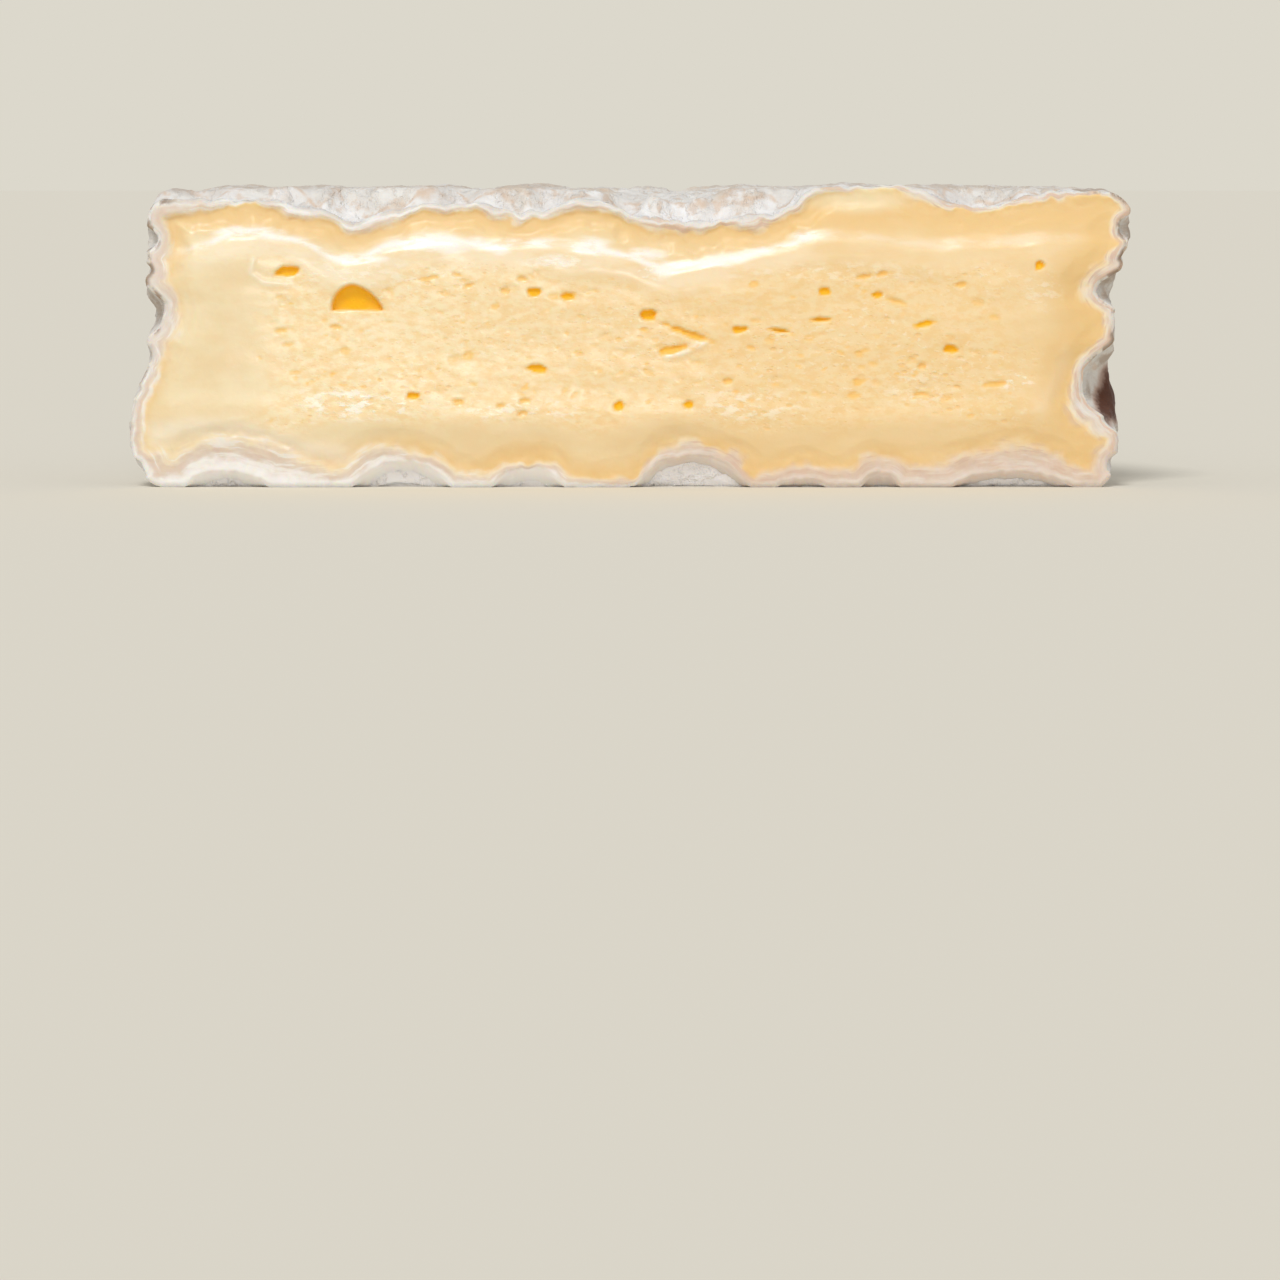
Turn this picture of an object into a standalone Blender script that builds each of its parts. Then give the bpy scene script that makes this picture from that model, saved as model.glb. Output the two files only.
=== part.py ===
"""Half of a small soft-ripened cheese wheel, lying on its flat side.

The wheel is cut straight through its middle. The cut faces -Y, the round wall is at +Y and the
wheel's own axis is vertical. The half is one solid: its wrinkled rind, the hollows where the rind
sinks at the cut, the paste that swells out of the cut and the larger eyes are all relief in it.

Lengths are written in millimetres and become metres when the mesh is made. Places on the cut are
measured from the wheel's axis (x, to the right) and from the surface it rests on (z, upwards).
"""

import math

import bmesh
import bpy
from mathutils import Euler, Matrix, Vector, kdtree, noise

MM = 0.001

# The plain wheel
RADIUS = 53.2
HEIGHT = 33.0
RIM_ROUNDING = 2.8

# The rind's edge and the paste on the cut
RIND_THICKNESS = 1.3
LIP_ROUNDING = 0.45
LIP_SETBACK = 0.35
GROOVE_DEPTH = 0.7
GROOVE_WIDTH = 1.5
SWELL_FORWARD = 1.7
SWELL_STARTS = 1.2
SWELL_FULL = 6.0
PASTE_WAVE_LONG = 16.0
PASTE_WAVE_TALL = 7.0
PASTE_WAVE_SHARE = 0.35

# Hollows where the rind sinks at the cut: (middle, half width, depth, reach back from the cut).
# The middle is an x on the top and the bottom and a z on the two ends. A negative depth is a bulge.
TOP_HOLLOWS = (
    (-46.8, 2.9, 1.5, 5.0),
    (-35.8, 2.8, 2.0, 5.0),
    (-30.8, 3.2, 3.3, 7.0),
    (-25.1, 1.9, 1.5, 4.0),
    (-19.0, 3.1, 2.2, 6.0),
    (-13.4, 1.9, 2.4, 4.5),
    (-9.1, 2.8, 2.0, 6.0),
    (-0.6, 3.5, 2.6, 6.5),
    (5.0, 2.7, 1.9, 5.0),
    (9.8, 2.5, 2.5, 6.0),
    (16.0, 3.2, 2.5, 6.5),
    (38.0, 6.0, 2.6, 9.0),
    (49.0, 2.2, 0.6, 4.0),
    (4.0, 15.0, 0.8, 60.0),
    (25.0, 13.0, -0.5, 45.0),
    (-30.0, 15.0, -0.3, 40.0),
)
BOTTOM_HOLLOWS = (
    (-44.6, 5.6, 1.8, 6.0),
    (-25.3, 6.2, 2.8, 6.5),
    (-11.3, 4.6, 2.2, 5.0),
    (6.6, 7.4, 3.5, 8.0),
    (18.7, 3.6, 0.9, 4.0),
    (27.5, 2.6, 1.6, 4.5),
    (41.8, 8.2, 2.5, 7.0),
)
LEFT_HOLLOWS = (
    (28.0, 1.7, 1.3, 4.0),
    (19.5, 3.0, 1.9, 6.0),
    (6.5, 7.0, -1.9, 16.0),
)
RIGHT_HOLLOWS = (
    (30.0, 8.0, -1.6, 20.0),
    (28.7, 1.5, 1.4, 3.5),
    (21.8, 2.2, 2.0, 5.0),
    (11.5, 4.8, 3.5, 8.0),
    (5.2, 2.6, -0.5, 8.0),
)
# The paste moves with the rind down to these depths under the wall, the top and the bottom
WALL_FOLLOWS = 14.0
TOP_FOLLOWS = 21.0
BOTTOM_FOLLOWS = 15.0
# The bottom would bulge this far below the surface it rests on, and is pressed level by it
BASE_PRESSED = 0.35

# Wrinkles of the rind away from the cut: how far apart along and across, and how deep
WALL_WRINKLE_LONG = 15.0
WALL_WRINKLE_TALL = 5.5
WALL_WRINKLE_DEPTH = 0.95
WALL_CREASE_SHARE = 0.6
RACK_MARK_WIDE = 5.2
RACK_MARK_LONG = 17.0
TOP_MARK_DEPTH = 1.1
TOP_MARK_LEVEL = 0.25
BOTTOM_MARK_DEPTH = 1.3
BOTTOM_MARK_LEVEL = 0.12
# The wrinkles fade out over these lengths towards the cut, the bottom and the top
FADE_AT_CUT = 6.0
FADE_AT_BOTTOM = 5.0
FADE_AT_TOP = 4.0
# Where each wrinkle pattern is read in the noise
WALL_CREASE_PLACE = 3.1
WALL_SWELL_PLACE = 8.4
TOP_MARK_PLACE = 5.7
BOTTOM_MARK_PLACE = 1.3
PASTE_WAVE_PLACE = 2.2

# Eyes of the paste: (x, z, width, height, depth, tilt in degrees)
EYES = (
    (-37.6, 23.8, 2.9, 1.2, 1.3, 14.0),
    (-10.6, 21.5, 1.3, 0.9, 0.9, 0.0),
    (-6.9, 21.1, 1.6, 0.8, 0.8, 0.0),
    (2.0, 19.0, 1.7, 1.2, 1.4, 0.0),
    (11.9, 17.4, 1.9, 0.8, 0.9, 6.0),
    (16.1, 17.3, 2.1, 0.6, 1.0, -6.0),
    (20.8, 18.5, 2.1, 0.6, 1.2, 0.0),
    (21.2, 21.6, 1.3, 0.8, 0.7, 0.0),
    (27.1, 21.2, 1.3, 0.7, 0.7, 0.0),
    (32.2, 18.0, 2.4, 1.0, 0.7, 18.0),
    (35.1, 15.2, 1.5, 0.9, 1.0, 0.0),
    (44.8, 24.4, 0.9, 0.9, 0.8, 0.0),
    (-10.2, 13.1, 2.0, 0.9, 0.9, -12.0),
    (-24.0, 10.1, 1.5, 0.9, 0.8, -10.0),
    (-1.3, 9.0, 1.1, 1.0, 0.7, 0.0),
    (6.4, 9.1, 1.1, 1.0, 0.6, 0.0),
)
# The largest eye is a dome over a level floor
DOMED_EYE = (-30.0, 19.5, 5.6, 2.7, 2.6)
# The folded eye is a wedge: its full height is at the left and its point at the right
FOLDED_EYE = (6.0, 16.2, 5.2, 2.6, 0.9)
FOLDED_EYE_POINT = 0.15
FOLDED_EYE_FULL = 1.1
# The eyes' middles lie this far in front of the swollen paste
EYE_STANDOFF = 0.13

# The mesh before it is thinned
FACE_COLUMNS = 136
FACE_ROWS = 46
FACE_CROWDING = 0.45
SKIN_TURNS = 44
SKIN_CROWDING = 1.7
TRIANGLES_KEPT = 8600
EYE_SIDES = 10
EYE_RINGS = 6
SAME_POINT = 0.001

CHEESE_COLOUR = (0.90, 0.72, 0.42, 1.0)
CHEESE_ROUGHNESS = 0.55


def bowl(offset):
    """A smooth hollow: 1 at its middle and 0 from offset 1 outwards, flatter inside than at its side."""
    reach = min(1.0, abs(offset))
    return (1.0 - reach**3) ** 2


def ease(share):
    """0 below share 0, 1 above share 1, and a smooth climb between them."""
    share = min(1.0, max(0.0, share))
    return share * share * (3.0 - 2.0 * share)


def follow(distance, span):
    """How much of the rind's movement reaches the paste at this distance under the rind."""
    return max(0.0, 1.0 - distance / span) ** 2


def sunk(hollows, along, back):
    """How deep the rind lies at a place along the cut's edge and this far behind the cut."""
    return sum(
        depth * bowl(math.hypot((along - middle) / half_width, back / reach))
        for middle, half_width, depth, reach in hollows
    )


def wall_wrinkle(along, z):
    """Long level creases of the round wall, which fade out at the top and the bottom."""
    place = Vector((along / WALL_WRINKLE_LONG, z / WALL_WRINKLE_TALL, WALL_CREASE_PLACE))
    crease = 1.0 - 2.0 * abs(noise.noise(place)) - WALL_CREASE_SHARE
    slow_place = (along / (2.0 * WALL_WRINKLE_LONG), z / HEIGHT, WALL_SWELL_PLACE)
    swell = noise.noise(Vector(slow_place))
    fade = ease(z / FADE_AT_BOTTOM) * ease((HEIGHT - z) / FADE_AT_TOP)
    return WALL_WRINKLE_DEPTH * (WALL_CREASE_SHARE * crease + swell) * fade


def rack_mark(x, y, place):
    """Long broken furrows, square to the cut, where the wheel lay on its drying rack."""
    return noise.noise(Vector((x / RACK_MARK_WIDE, y / RACK_MARK_LONG, place)))


def shaped(point):
    """Where a point of the plain half wheel lies in the real one."""
    x, y, z = point
    radius = math.hypot(x, y)
    if radius > 0.0:
        hollows = LEFT_HOLLOWS if x < 0.0 else RIGHT_HOLLOWS
        behind_cut = RADIUS * math.atan2(y, abs(x))
        move = wall_wrinkle(RADIUS * math.atan2(y, x), z) * ease(behind_cut / FADE_AT_CUT)
        move -= sunk(hollows, z, behind_cut)
        grown = 1.0 + move * follow(RADIUS - radius, WALL_FOLLOWS) / radius
        x, y = x * grown, y * grown
    plain_x, plain_y, plain_z = point
    fade = ease(plain_y / FADE_AT_CUT)
    top_mark = rack_mark(plain_x, plain_y, TOP_MARK_PLACE) - TOP_MARK_LEVEL
    top_move = TOP_MARK_DEPTH * top_mark * fade - sunk(TOP_HOLLOWS, plain_x, plain_y)
    bottom_mark = max(0.0, rack_mark(plain_x, plain_y, BOTTOM_MARK_PLACE) - BOTTOM_MARK_LEVEL)
    rise = BOTTOM_MARK_DEPTH * bottom_mark * fade + sunk(BOTTOM_HOLLOWS, plain_x, plain_y)
    z += top_move * follow(HEIGHT - plain_z, TOP_FOLLOWS)
    z += (rise - BASE_PRESSED) * follow(plain_z, BOTTOM_FOLLOWS)
    return Vector((x, y, z))


def crowded(share, crowding):
    """Spreads shares from -1 to 1 so that they crowd towards both ends."""
    return (1.0 - crowding) * share + crowding * math.sin(share * math.pi / 2.0)


def round_corner(x, z):
    """Rounds the corners of the plain cut, a rectangle, to the wheel's rim."""
    inner_x = max(-RADIUS + RIM_ROUNDING, min(RADIUS - RIM_ROUNDING, x))
    inner_z = max(RIM_ROUNDING, min(HEIGHT - RIM_ROUNDING, z))
    out_x, out_z = x - inner_x, z - inner_z
    if out_x and out_z:
        shrink = max(abs(out_x), abs(out_z)) / math.hypot(out_x, out_z)
        return inner_x + out_x * shrink, inner_z + out_z * shrink
    return x, z


def plain_cut(mesh, front_x):
    """A grid over the plain cut, its rows crowded near the rind. Returns its outline's edges."""
    bmesh.ops.create_grid(mesh, x_segments=FACE_COLUMNS, y_segments=FACE_ROWS, size=1.0)
    for vertex in mesh.verts:
        x = RADIUS * crowded(vertex.co.x, FACE_CROWDING)
        z = HEIGHT / 2.0 * (1.0 + crowded(vertex.co.y, FACE_CROWDING))
        x, z = round_corner(x, z)
        vertex.co = (x, 0.0, z)
        vertex[front_x] = x
    return [edge for edge in mesh.edges if edge.is_boundary]


def wrap_skin(mesh, front_x, outline):
    """Carries the cut's outline round the wheel in steps, so that it closes at the back."""
    flat_radius = RADIUS - RIM_ROUNDING
    for turn in range(1, SKIN_TURNS + 1):
        angle = math.pi / 2.0 * (turn / SKIN_TURNS) ** SKIN_CROWDING
        grown = bmesh.ops.extrude_edge_only(mesh, edges=outline)["geom"]
        outline = [item for item in grown if isinstance(item, bmesh.types.BMEdge)]
        for vertex in (item for item in grown if isinstance(item, bmesh.types.BMVert)):
            x = vertex[front_x]
            vertex.co.x = x * math.cos(angle)
            vertex.co.y = max(abs(x), flat_radius) * math.sin(angle)
    bmesh.ops.remove_doubles(mesh, verts=mesh.verts, dist=SAME_POINT)
    bmesh.ops.recalc_face_normals(mesh, faces=mesh.faces)


def outline_finder(outline):
    """A search tree over points spread closely along the shaped outline of the cut."""
    steps = 4
    ends = [(shaped(a), shaped(b)) for a, b in outline]
    finder = kdtree.KDTree(steps * len(ends))
    for number, (start, end) in enumerate(ends):
        for step in range(steps):
            finder.insert(start.lerp(end, step / steps), number * steps + step)
    finder.balance()
    return finder


def relief(plain, from_edge):
    """How far the cut stands forward at a plain point of it that lies this far inside its edge."""
    lip = -LIP_SETBACK * (1.0 - ease(from_edge / LIP_ROUNDING))
    groove = -GROOVE_DEPTH * bowl((from_edge - RIND_THICKNESS - GROOVE_WIDTH / 2.0) / GROOVE_WIDTH)
    under_rind = min(plain.z, HEIGHT - plain.z, RADIUS - abs(plain.x))
    swell = SWELL_FORWARD * ease((under_rind - SWELL_STARTS) / (SWELL_FULL - SWELL_STARTS))
    wave_place = (plain.x / PASTE_WAVE_LONG, PASTE_WAVE_PLACE, plain.z / PASTE_WAVE_TALL)
    flow = noise.noise(Vector(wave_place))
    return lip + groove + swell * (1.0 + PASTE_WAVE_SHARE * flow)


def on_cut(edge):
    return all(abs(vertex.co.y) < SAME_POINT for vertex in edge.verts)


def at_rind_edge(edge):
    """Whether an edge of the plain half wheel parts the cut from the rind."""
    cut_faces = [face for face in edge.link_faces if all(on_cut(side) for side in face.edges)]
    return on_cut(edge) and len(cut_faces) == 1


def shape_cheese(mesh):
    """Moves every point of the plain half wheel to its real place, with the cut's relief."""
    outline = [[end.co.copy() for end in edge.verts] for edge in mesh.edges if at_rind_edge(edge)]
    finder = outline_finder(outline)
    for vertex in mesh.verts:
        place = shaped(vertex.co)
        if abs(vertex.co.y) < SAME_POINT:
            from_edge = finder.find(place)[2]
            place.y -= relief(vertex.co, from_edge)
        vertex.co = place


def cheese_material():
    """Ivory paste and rind in one plain finish."""
    material = bpy.data.materials.new("cheese")
    material.use_nodes = True
    shader = material.node_tree.nodes["Principled BSDF"]
    shader.inputs["Base Color"].default_value = CHEESE_COLOUR
    shader.inputs["Roughness"].default_value = CHEESE_ROUGHNESS
    shader.inputs["Metallic"].default_value = 0.0
    material.diffuse_color = CHEESE_COLOUR
    return material


def add_object(name, mesh):
    """Makes an object of a bmesh that is in millimetres."""
    bmesh.ops.scale(mesh, vec=(MM, MM, MM), verts=mesh.verts)
    data = bpy.data.meshes.new(name)
    mesh.to_mesh(data)
    mesh.free()
    made = bpy.data.objects.new(name, data)
    bpy.context.scene.collection.objects.link(made)
    return made


def add_eye(mesh, size, place, tilt):
    """Adds one egg-shaped cutter, wide, deep and high as given, and returns its points."""
    turned = Euler((0.0, -math.radians(tilt), 0.0)).to_matrix().to_4x4()
    stretched = Matrix.Diagonal((*size, 1.0))
    return bmesh.ops.create_uvsphere(
        mesh,
        u_segments=EYE_SIDES,
        v_segments=EYE_RINGS,
        radius=1.0,
        matrix=Matrix.Translation(place) @ turned @ stretched,
    )["verts"]


def flatten_floor(points, floor):
    """Gives a cutter a level floor."""
    for vertex in points:
        vertex.co.z = max(vertex.co.z, floor)


def add_resting_surface(mesh):
    """Adds the block under the cheese that levels its base."""
    size = (4.0 * RADIUS, 4.0 * RADIUS, RIM_ROUNDING)
    block = Matrix.Translation((0.0, 0.0, -size[2] / 2.0)) @ Matrix.Diagonal((*size, 1.0))
    bmesh.ops.create_cube(mesh, size=1.0, matrix=block)


def add_knife():
    """Every eye of the paste and the level base, as one hidden cutter."""
    mesh = bmesh.new()
    front = -SWELL_FORWARD - EYE_STANDOFF
    for x, z, width, height, depth, tilt in EYES:
        add_eye(mesh, (width / 2.0, depth, height / 2.0), (x, front, z), tilt)
    x, z, width, height, depth = DOMED_EYE
    dome = add_eye(mesh, (width / 2.0, depth, height), (x, front, z), 0.0)
    flatten_floor(dome, z)
    x, z, width, height, depth = FOLDED_EYE
    wedge = add_eye(mesh, (width / 2.0, depth, height / 2.0), (x, front, z), 0.0)
    for vertex in wedge:
        leftward = 0.5 - (vertex.co.x - x) / width
        open_share = FOLDED_EYE_POINT + (FOLDED_EYE_FULL - FOLDED_EYE_POINT) * leftward
        vertex.co.z = z + (vertex.co.z - z) * open_share
    add_resting_surface(mesh)
    knife = add_object("knife", mesh)
    knife.hide_render = True
    knife.display_type = "WIRE"
    return knife


def thin_out(cheese):
    """Keeps the triangles where the shape bends most."""
    count = sum(len(face.vertices) - 2 for face in cheese.data.polygons)
    thinning = cheese.modifiers.new("thinning", "DECIMATE")
    thinning.ratio = TRIANGLES_KEPT / count
    thinning.use_collapse_triangulate = True


def cut_away(cheese, knife):
    """Cuts the eyes out of the paste and the base level."""
    cuts = cheese.modifiers.new("eyes_and_base", "BOOLEAN")
    cuts.operation = "DIFFERENCE"
    cuts.solver = "EXACT"
    cuts.object = knife


def centre_on_base(cheese, knife):
    """Puts the origin under the middle of the finished solid, on the surface it rests on."""
    bpy.context.view_layer.update()
    finished = cheese.evaluated_get(bpy.context.evaluated_depsgraph_get())
    corners = [Vector(corner) for corner in finished.bound_box]
    low = Vector(map(min, zip(*corners)))
    high = Vector(map(max, zip(*corners)))
    shift = Matrix.Translation((-(low.x + high.x) / 2.0, -(low.y + high.y) / 2.0, -low.z))
    for item in (cheese, knife):
        item.data.transform(shift)


def build_half_wheel():
    mesh = bmesh.new()
    front_x = mesh.verts.layers.float.new("front_x")
    outline = plain_cut(mesh, front_x)
    wrap_skin(mesh, front_x, outline)
    shape_cheese(mesh)
    cheese = add_object("half_wheel", mesh)
    cheese.data.materials.append(cheese_material())
    knife = add_knife()
    thin_out(cheese)
    cut_away(cheese, knife)
    centre_on_base(cheese, knife)


for item in list(bpy.data.objects):
    bpy.data.objects.remove(item)
build_half_wheel()
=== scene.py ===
"""Half of a ripe white-rind cheese wheel, dressed around its solid.

Two pieces stand for the solid: the face of the cut, with its rind section, its eyes and its moist
paste, and the mould rind that wraps the rest. Lengths are millimetres and become metres when a mesh
is placed. Places on the cut are measured as on the plain wheel: x to the right of the wheel's axis,
z above the surface it rests on, and y behind the cut.
"""

import math

import bpy
import numpy as np
from bpy.props import FloatProperty, FloatVectorProperty, IntProperty, PointerProperty
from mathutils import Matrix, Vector, kdtree, noise


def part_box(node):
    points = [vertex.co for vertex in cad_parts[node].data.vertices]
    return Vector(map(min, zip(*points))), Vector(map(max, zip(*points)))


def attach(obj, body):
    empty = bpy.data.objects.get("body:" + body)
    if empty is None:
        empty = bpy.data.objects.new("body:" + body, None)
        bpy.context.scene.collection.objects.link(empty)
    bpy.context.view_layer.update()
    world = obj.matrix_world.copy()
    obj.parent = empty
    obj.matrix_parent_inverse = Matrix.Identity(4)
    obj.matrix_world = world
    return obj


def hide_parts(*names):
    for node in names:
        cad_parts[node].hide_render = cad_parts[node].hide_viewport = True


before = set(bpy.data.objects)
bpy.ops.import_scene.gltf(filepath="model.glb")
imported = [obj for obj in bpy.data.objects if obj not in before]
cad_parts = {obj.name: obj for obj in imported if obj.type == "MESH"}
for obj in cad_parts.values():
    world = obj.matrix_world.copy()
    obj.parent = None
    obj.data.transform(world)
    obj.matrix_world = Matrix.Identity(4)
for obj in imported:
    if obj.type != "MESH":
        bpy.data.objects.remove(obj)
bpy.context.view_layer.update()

bl_info = {
    "name": "Half cheese wheel",
    "version": (1, 0, 0),
    "blender": (4, 5, 0),
    "location": "3D View > Sidebar > Cheese",
    "description": "Makes the cut face and the mould rind of a half cheese wheel, and a plain studio",
    "category": "Add Mesh",
}

MM = 0.001

# The plain wheel, as in the solid
RADIUS = 53.2
HEIGHT = 33.0
RIM_ROUNDING = 2.8

# Hollows where the rind sinks at the cut: (middle, half width, depth, reach back from the cut)
TOP_HOLLOWS = (
    (-46.8, 2.9, 1.5, 5.0),
    (-35.8, 2.8, 2.0, 5.0),
    (-30.8, 3.2, 3.3, 7.0),
    (-25.1, 1.9, 1.5, 4.0),
    (-19.0, 3.1, 2.2, 6.0),
    (-13.4, 1.9, 2.4, 4.5),
    (-9.1, 2.8, 2.0, 6.0),
    (-0.6, 3.5, 2.6, 6.5),
    (5.0, 2.7, 1.9, 5.0),
    (9.8, 2.5, 2.5, 6.0),
    (16.0, 3.2, 2.5, 6.5),
    (38.0, 6.0, 2.6, 9.0),
    (49.0, 2.2, 0.6, 4.0),
    (4.0, 15.0, 0.8, 60.0),
    (25.0, 13.0, -0.5, 45.0),
    (-30.0, 15.0, -0.3, 40.0),
)
BOTTOM_HOLLOWS = (
    (-44.6, 5.6, 1.8, 6.0),
    (-25.3, 6.2, 2.8, 6.5),
    (-11.3, 4.6, 2.2, 5.0),
    (6.6, 7.4, 3.5, 8.0),
    (18.7, 3.6, 0.9, 4.0),
    (27.5, 2.6, 1.6, 4.5),
    (41.8, 8.2, 1.7, 7.0),
)
LEFT_HOLLOWS = (
    (28.0, 1.7, 1.3, 4.0),
    (19.5, 3.0, 1.9, 6.0),
    (6.5, 7.0, -1.9, 16.0),
    (24.4, 0.9, 0.4, 3.0),
    (14.6, 1.1, 0.5, 3.0),
    (10.6, 0.9, 0.4, 3.0),
    (2.4, 1.2, 0.6, 3.0),
)
RIGHT_HOLLOWS = (
    (30.0, 8.0, -1.6, 20.0),
    (28.7, 1.5, 1.4, 3.5),
    (21.8, 2.2, 2.0, 5.0),
    (11.5, 4.8, 3.5, 6.0),
    (5.2, 2.6, -0.5, 8.0),
    (25.6, 0.8, 0.4, 3.0),
    (7.1, 0.9, 0.8, 3.0),
    (2.8, 1.3, 0.8, 3.0),
)
BASE_PRESSED = 0.35
# The bottom hollows reach this many times less far back than in the solid, to catch light
HOLLOW_BACK = 4.5
# The paste this far under the wall, the top or the bottom no longer moves with the rind
WALL_FOLLOWS = 14.0
TOP_FOLLOWS = 21.0
BOTTOM_FOLLOWS = 15.0

# Wrinkles of the rind away from the cut, as in the solid
WALL_WRINKLE_LONG = 15.0
WALL_WRINKLE_TALL = 5.5
WALL_WRINKLE_DEPTH = 0.95
WALL_CREASE_SHARE = 0.6
RACK_MARK_WIDE = 5.2
RACK_MARK_LONG = 17.0
TOP_MARK_DEPTH = 1.1
TOP_MARK_LEVEL = 0.25
BOTTOM_MARK_DEPTH = 1.3
BOTTOM_MARK_LEVEL = 0.12
FADE_AT_CUT = 6.0
FADE_AT_BOTTOM = 5.0
FADE_AT_TOP = 4.0
WALL_CREASE_PLACE = 3.1
WALL_SWELL_PLACE = 8.4
TOP_MARK_PLACE = 5.7
BOTTOM_MARK_PLACE = 1.3

# Fine crinkles of the rind, which the solid leaves out: (wavelength, height)
CRINKLES = ((3.4, 0.22), (1.5, 0.15), (0.8, 0.06))
CRINKLE_LEVEL = 0.45
CRINKLE_FOLLOWS = 2.6
CRINKLE_GAIN = 0.6

# Each name that ends in WAVE or WAVES holds soft waves over the cut, all measured alike:
# (length across, length up, height, place in the noise)

# The rind's upper edge on the cut, as (x, z). Its crests rise again this far behind the cut
RIND_LINE = (
    (-56.0, 32.0), (-50.6, 31.6), (-44.6, 31.5), (-38.5, 31.5), (-36.8, 30.6), (-35.0, 30.6),
    (-33.1, 30.1), (-30.4, 29.0), (-28.5, 29.3), (-24.5, 30.7), (-22.0, 31.1), (-18.4, 30.8),
    (-16.1, 31.3), (-14.6, 30.6), (-12.0, 30.0), (-8.6, 30.8), (-5.2, 31.6), (-3.2, 31.2), (0.7, 29.9),
    (6.7, 28.9), (14.4, 29.7), (17.4, 30.6), (19.0, 32.0), (20.2, 33.2), (29.3, 33.4), (32.3, 32.7),
    (34.6, 31.2), (38.9, 30.7), (41.7, 31.3), (44.8, 32.4), (56.0, 32.9),
)
RIND_LINE_REACH = 3.6
RIND_LINE_WAVE = (1.3, 1.0, 0.3, 5.5)
# Above this height the crests of the top are pressed, and keep only this share of their height
PRESSED_LEVEL = 32.7
PRESSED_SHARE = 0.55
# The round wall stands out behind the pocket at the right end: (z, how far back, half width, height)
POCKET_BACK = (8.5, 9.0, 6.5, 1.3)

# The rind's section on the cut, thinner over the top's height, as (z where that starts, z where
# it is full), and thicker at some places, as (x, z, half width, extra thickness)
RIND_THICKNESS = 1.35
RIND_WAVES = ((4.0, 4.0, 0.6, 4.4), (1.4, 1.4, 0.35, 9.4))
SECTION_WAVES = ((1.4, 1.4, 0.10, 3.3), (0.6, 0.6, 0.06, 3.3))
TOP_RIND_THINNER = 0.45
TOP_RIND = (24.0, 28.0)
THICK_RIND = (
    (-44.0, 2.0, 11.5, 3.2),
    (-35.0, 2.0, 10.0, 1.3),
    (-25.0, 2.5, 8.0, 0.6),
    (22.0, 1.5, 9.0, 0.9),
    (33.5, 1.5, 7.0, 1.1),
    (-11.5, 2.0, 7.0, -0.5),
    (25.0, 33.0, 6.5, -0.6),
    (50.0, 33.0, 8.0, -0.4),
    (43.0, 2.5, 11.0, 1.7),
    (7.0, 4.5, 7.0, 0.4),
    (-29.0, 30.0, 9.0, 0.3),
    (-53.0, 27.0, 9.0, 1.1),
    (-52.5, 17.0, 7.0, 0.5),
    (50.0, 27.0, 7.0, 0.6),
)
THINNEST_RIND = 0.35
# The rounded lip at the cut's outline
LIP_ROUNDING = 0.5
LIP_SETBACK = 0.35
# The groove of the paste beside the rind, deepest above the first stretch and left of the second
GROOVE_DEPTH = 0.55
GROOVE_WIDTH = 1.4
GROOVE_LEAST = 0.2
GROOVE_UP = (22.0, 28.0)
GROOVE_LEFT = (32.0, 20.0)
# The paste's relief grows to its full height over this far from the rind
PASTE_STARTS = 1.5

# The paste's swelling: the line where its upper shoulder turns to the front, as (x, z)
SHOULDER_LINE = (
    (-56.0, 25.0), (-46.9, 26.5), (-44.3, 27.7), (-40.9, 28.2), (-38.2, 27.4), (-34.8, 26.5),
    (-32.2, 25.3), (-29.2, 25.3), (-26.4, 26.6), (-23.5, 27.4), (-19.7, 27.4), (-16.3, 26.7),
    (-11.7, 26.9), (-5.5, 26.5), (-1.3, 25.4), (4.4, 24.2), (7.2, 24.6), (11.3, 25.1), (15.5, 26.2),
    (19.3, 27.5), (22.7, 27.6), (33.9, 26.8), (40.7, 27.0), (48.0, 27.5), (56.0, 27.5),
)
SHOULDER_WAVE = (4.0, 4.0, 0.5, 6.3)
# How finely a line across the cut is read, and over how many steps its corners are evened out
LINE_STEPS = 400
LINE_EVENED = 11
# How far the paste swells out of the cut
SWELL_FORWARD = 1.75
SWELL_WAVE = (16.0, 7.0, 0.12, 2.2)
# The swell flattens to these shares of itself within this far of the bottom and of the ends
SWELL_LOW_LEAST = 0.4
SWELL_LOW_REACH = 9.5
SWELL_END_LEAST = 0.3
SWELL_END_REACH = 9.0
# The shoulder turns in a long slope, and this share of it in a short step
SHOULDER_STEP = 0.3
SHOULDER_STEP_TALL = 1.8
SHOULDER_SLOPE_TALL = 8.0
# Two low rolls of the swell: (how far under the shoulder or above the base, half width, height)
SHOULDER_ROLL = (2.2, 0.9, 0.05)
ROLL_WAVE = (5.0, 1.0, 1.0, 1.7)
FOOT_ROLL = (7.6, 1.9, 0.22)
# Waves of the smooth paste, and how much stronger they are where it is moist
PASTE_WAVES = ((6.5, 2.6, 0.07, 5.2), (2.6, 1.3, 0.03, 5.9))
MOIST_WAVES = ((6.5, 2.6, 0.12, 5.2), (2.6, 1.3, 0.08, 5.9))

# The porous centre lies this much deeper. It grows over each stretch, from none at its start to
# all at its end: along x at both sides, under the shoulder, and above the base
CENTRE_SUNK = 0.15
CENTRE_LEFT = (-43.0, -36.0)
CENTRE_RIGHT = (47.5, 38.5)
CENTRE_TOP = (1.5, 4.0)
CENTRE_BOTTOM = (5.5, 8.5)
CENTRE_WAVE = (7.0, 5.0, 1.6, 9.1)
GRAIN_WAVE = (1.6, 0.9, 0.02, 7.7)
CRUMB_WAVE = (1.1, 0.8, 0.09, 8.8)

# Half the least width of the moist band along the shoulder, which is painted with a highlight
MOIST_HIGHLIGHT_BAND = 0.42
MOIST_HIGHLIGHT_BAND_WAVE = (5.0, 1.0, 0.5, 8.3)
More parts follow.
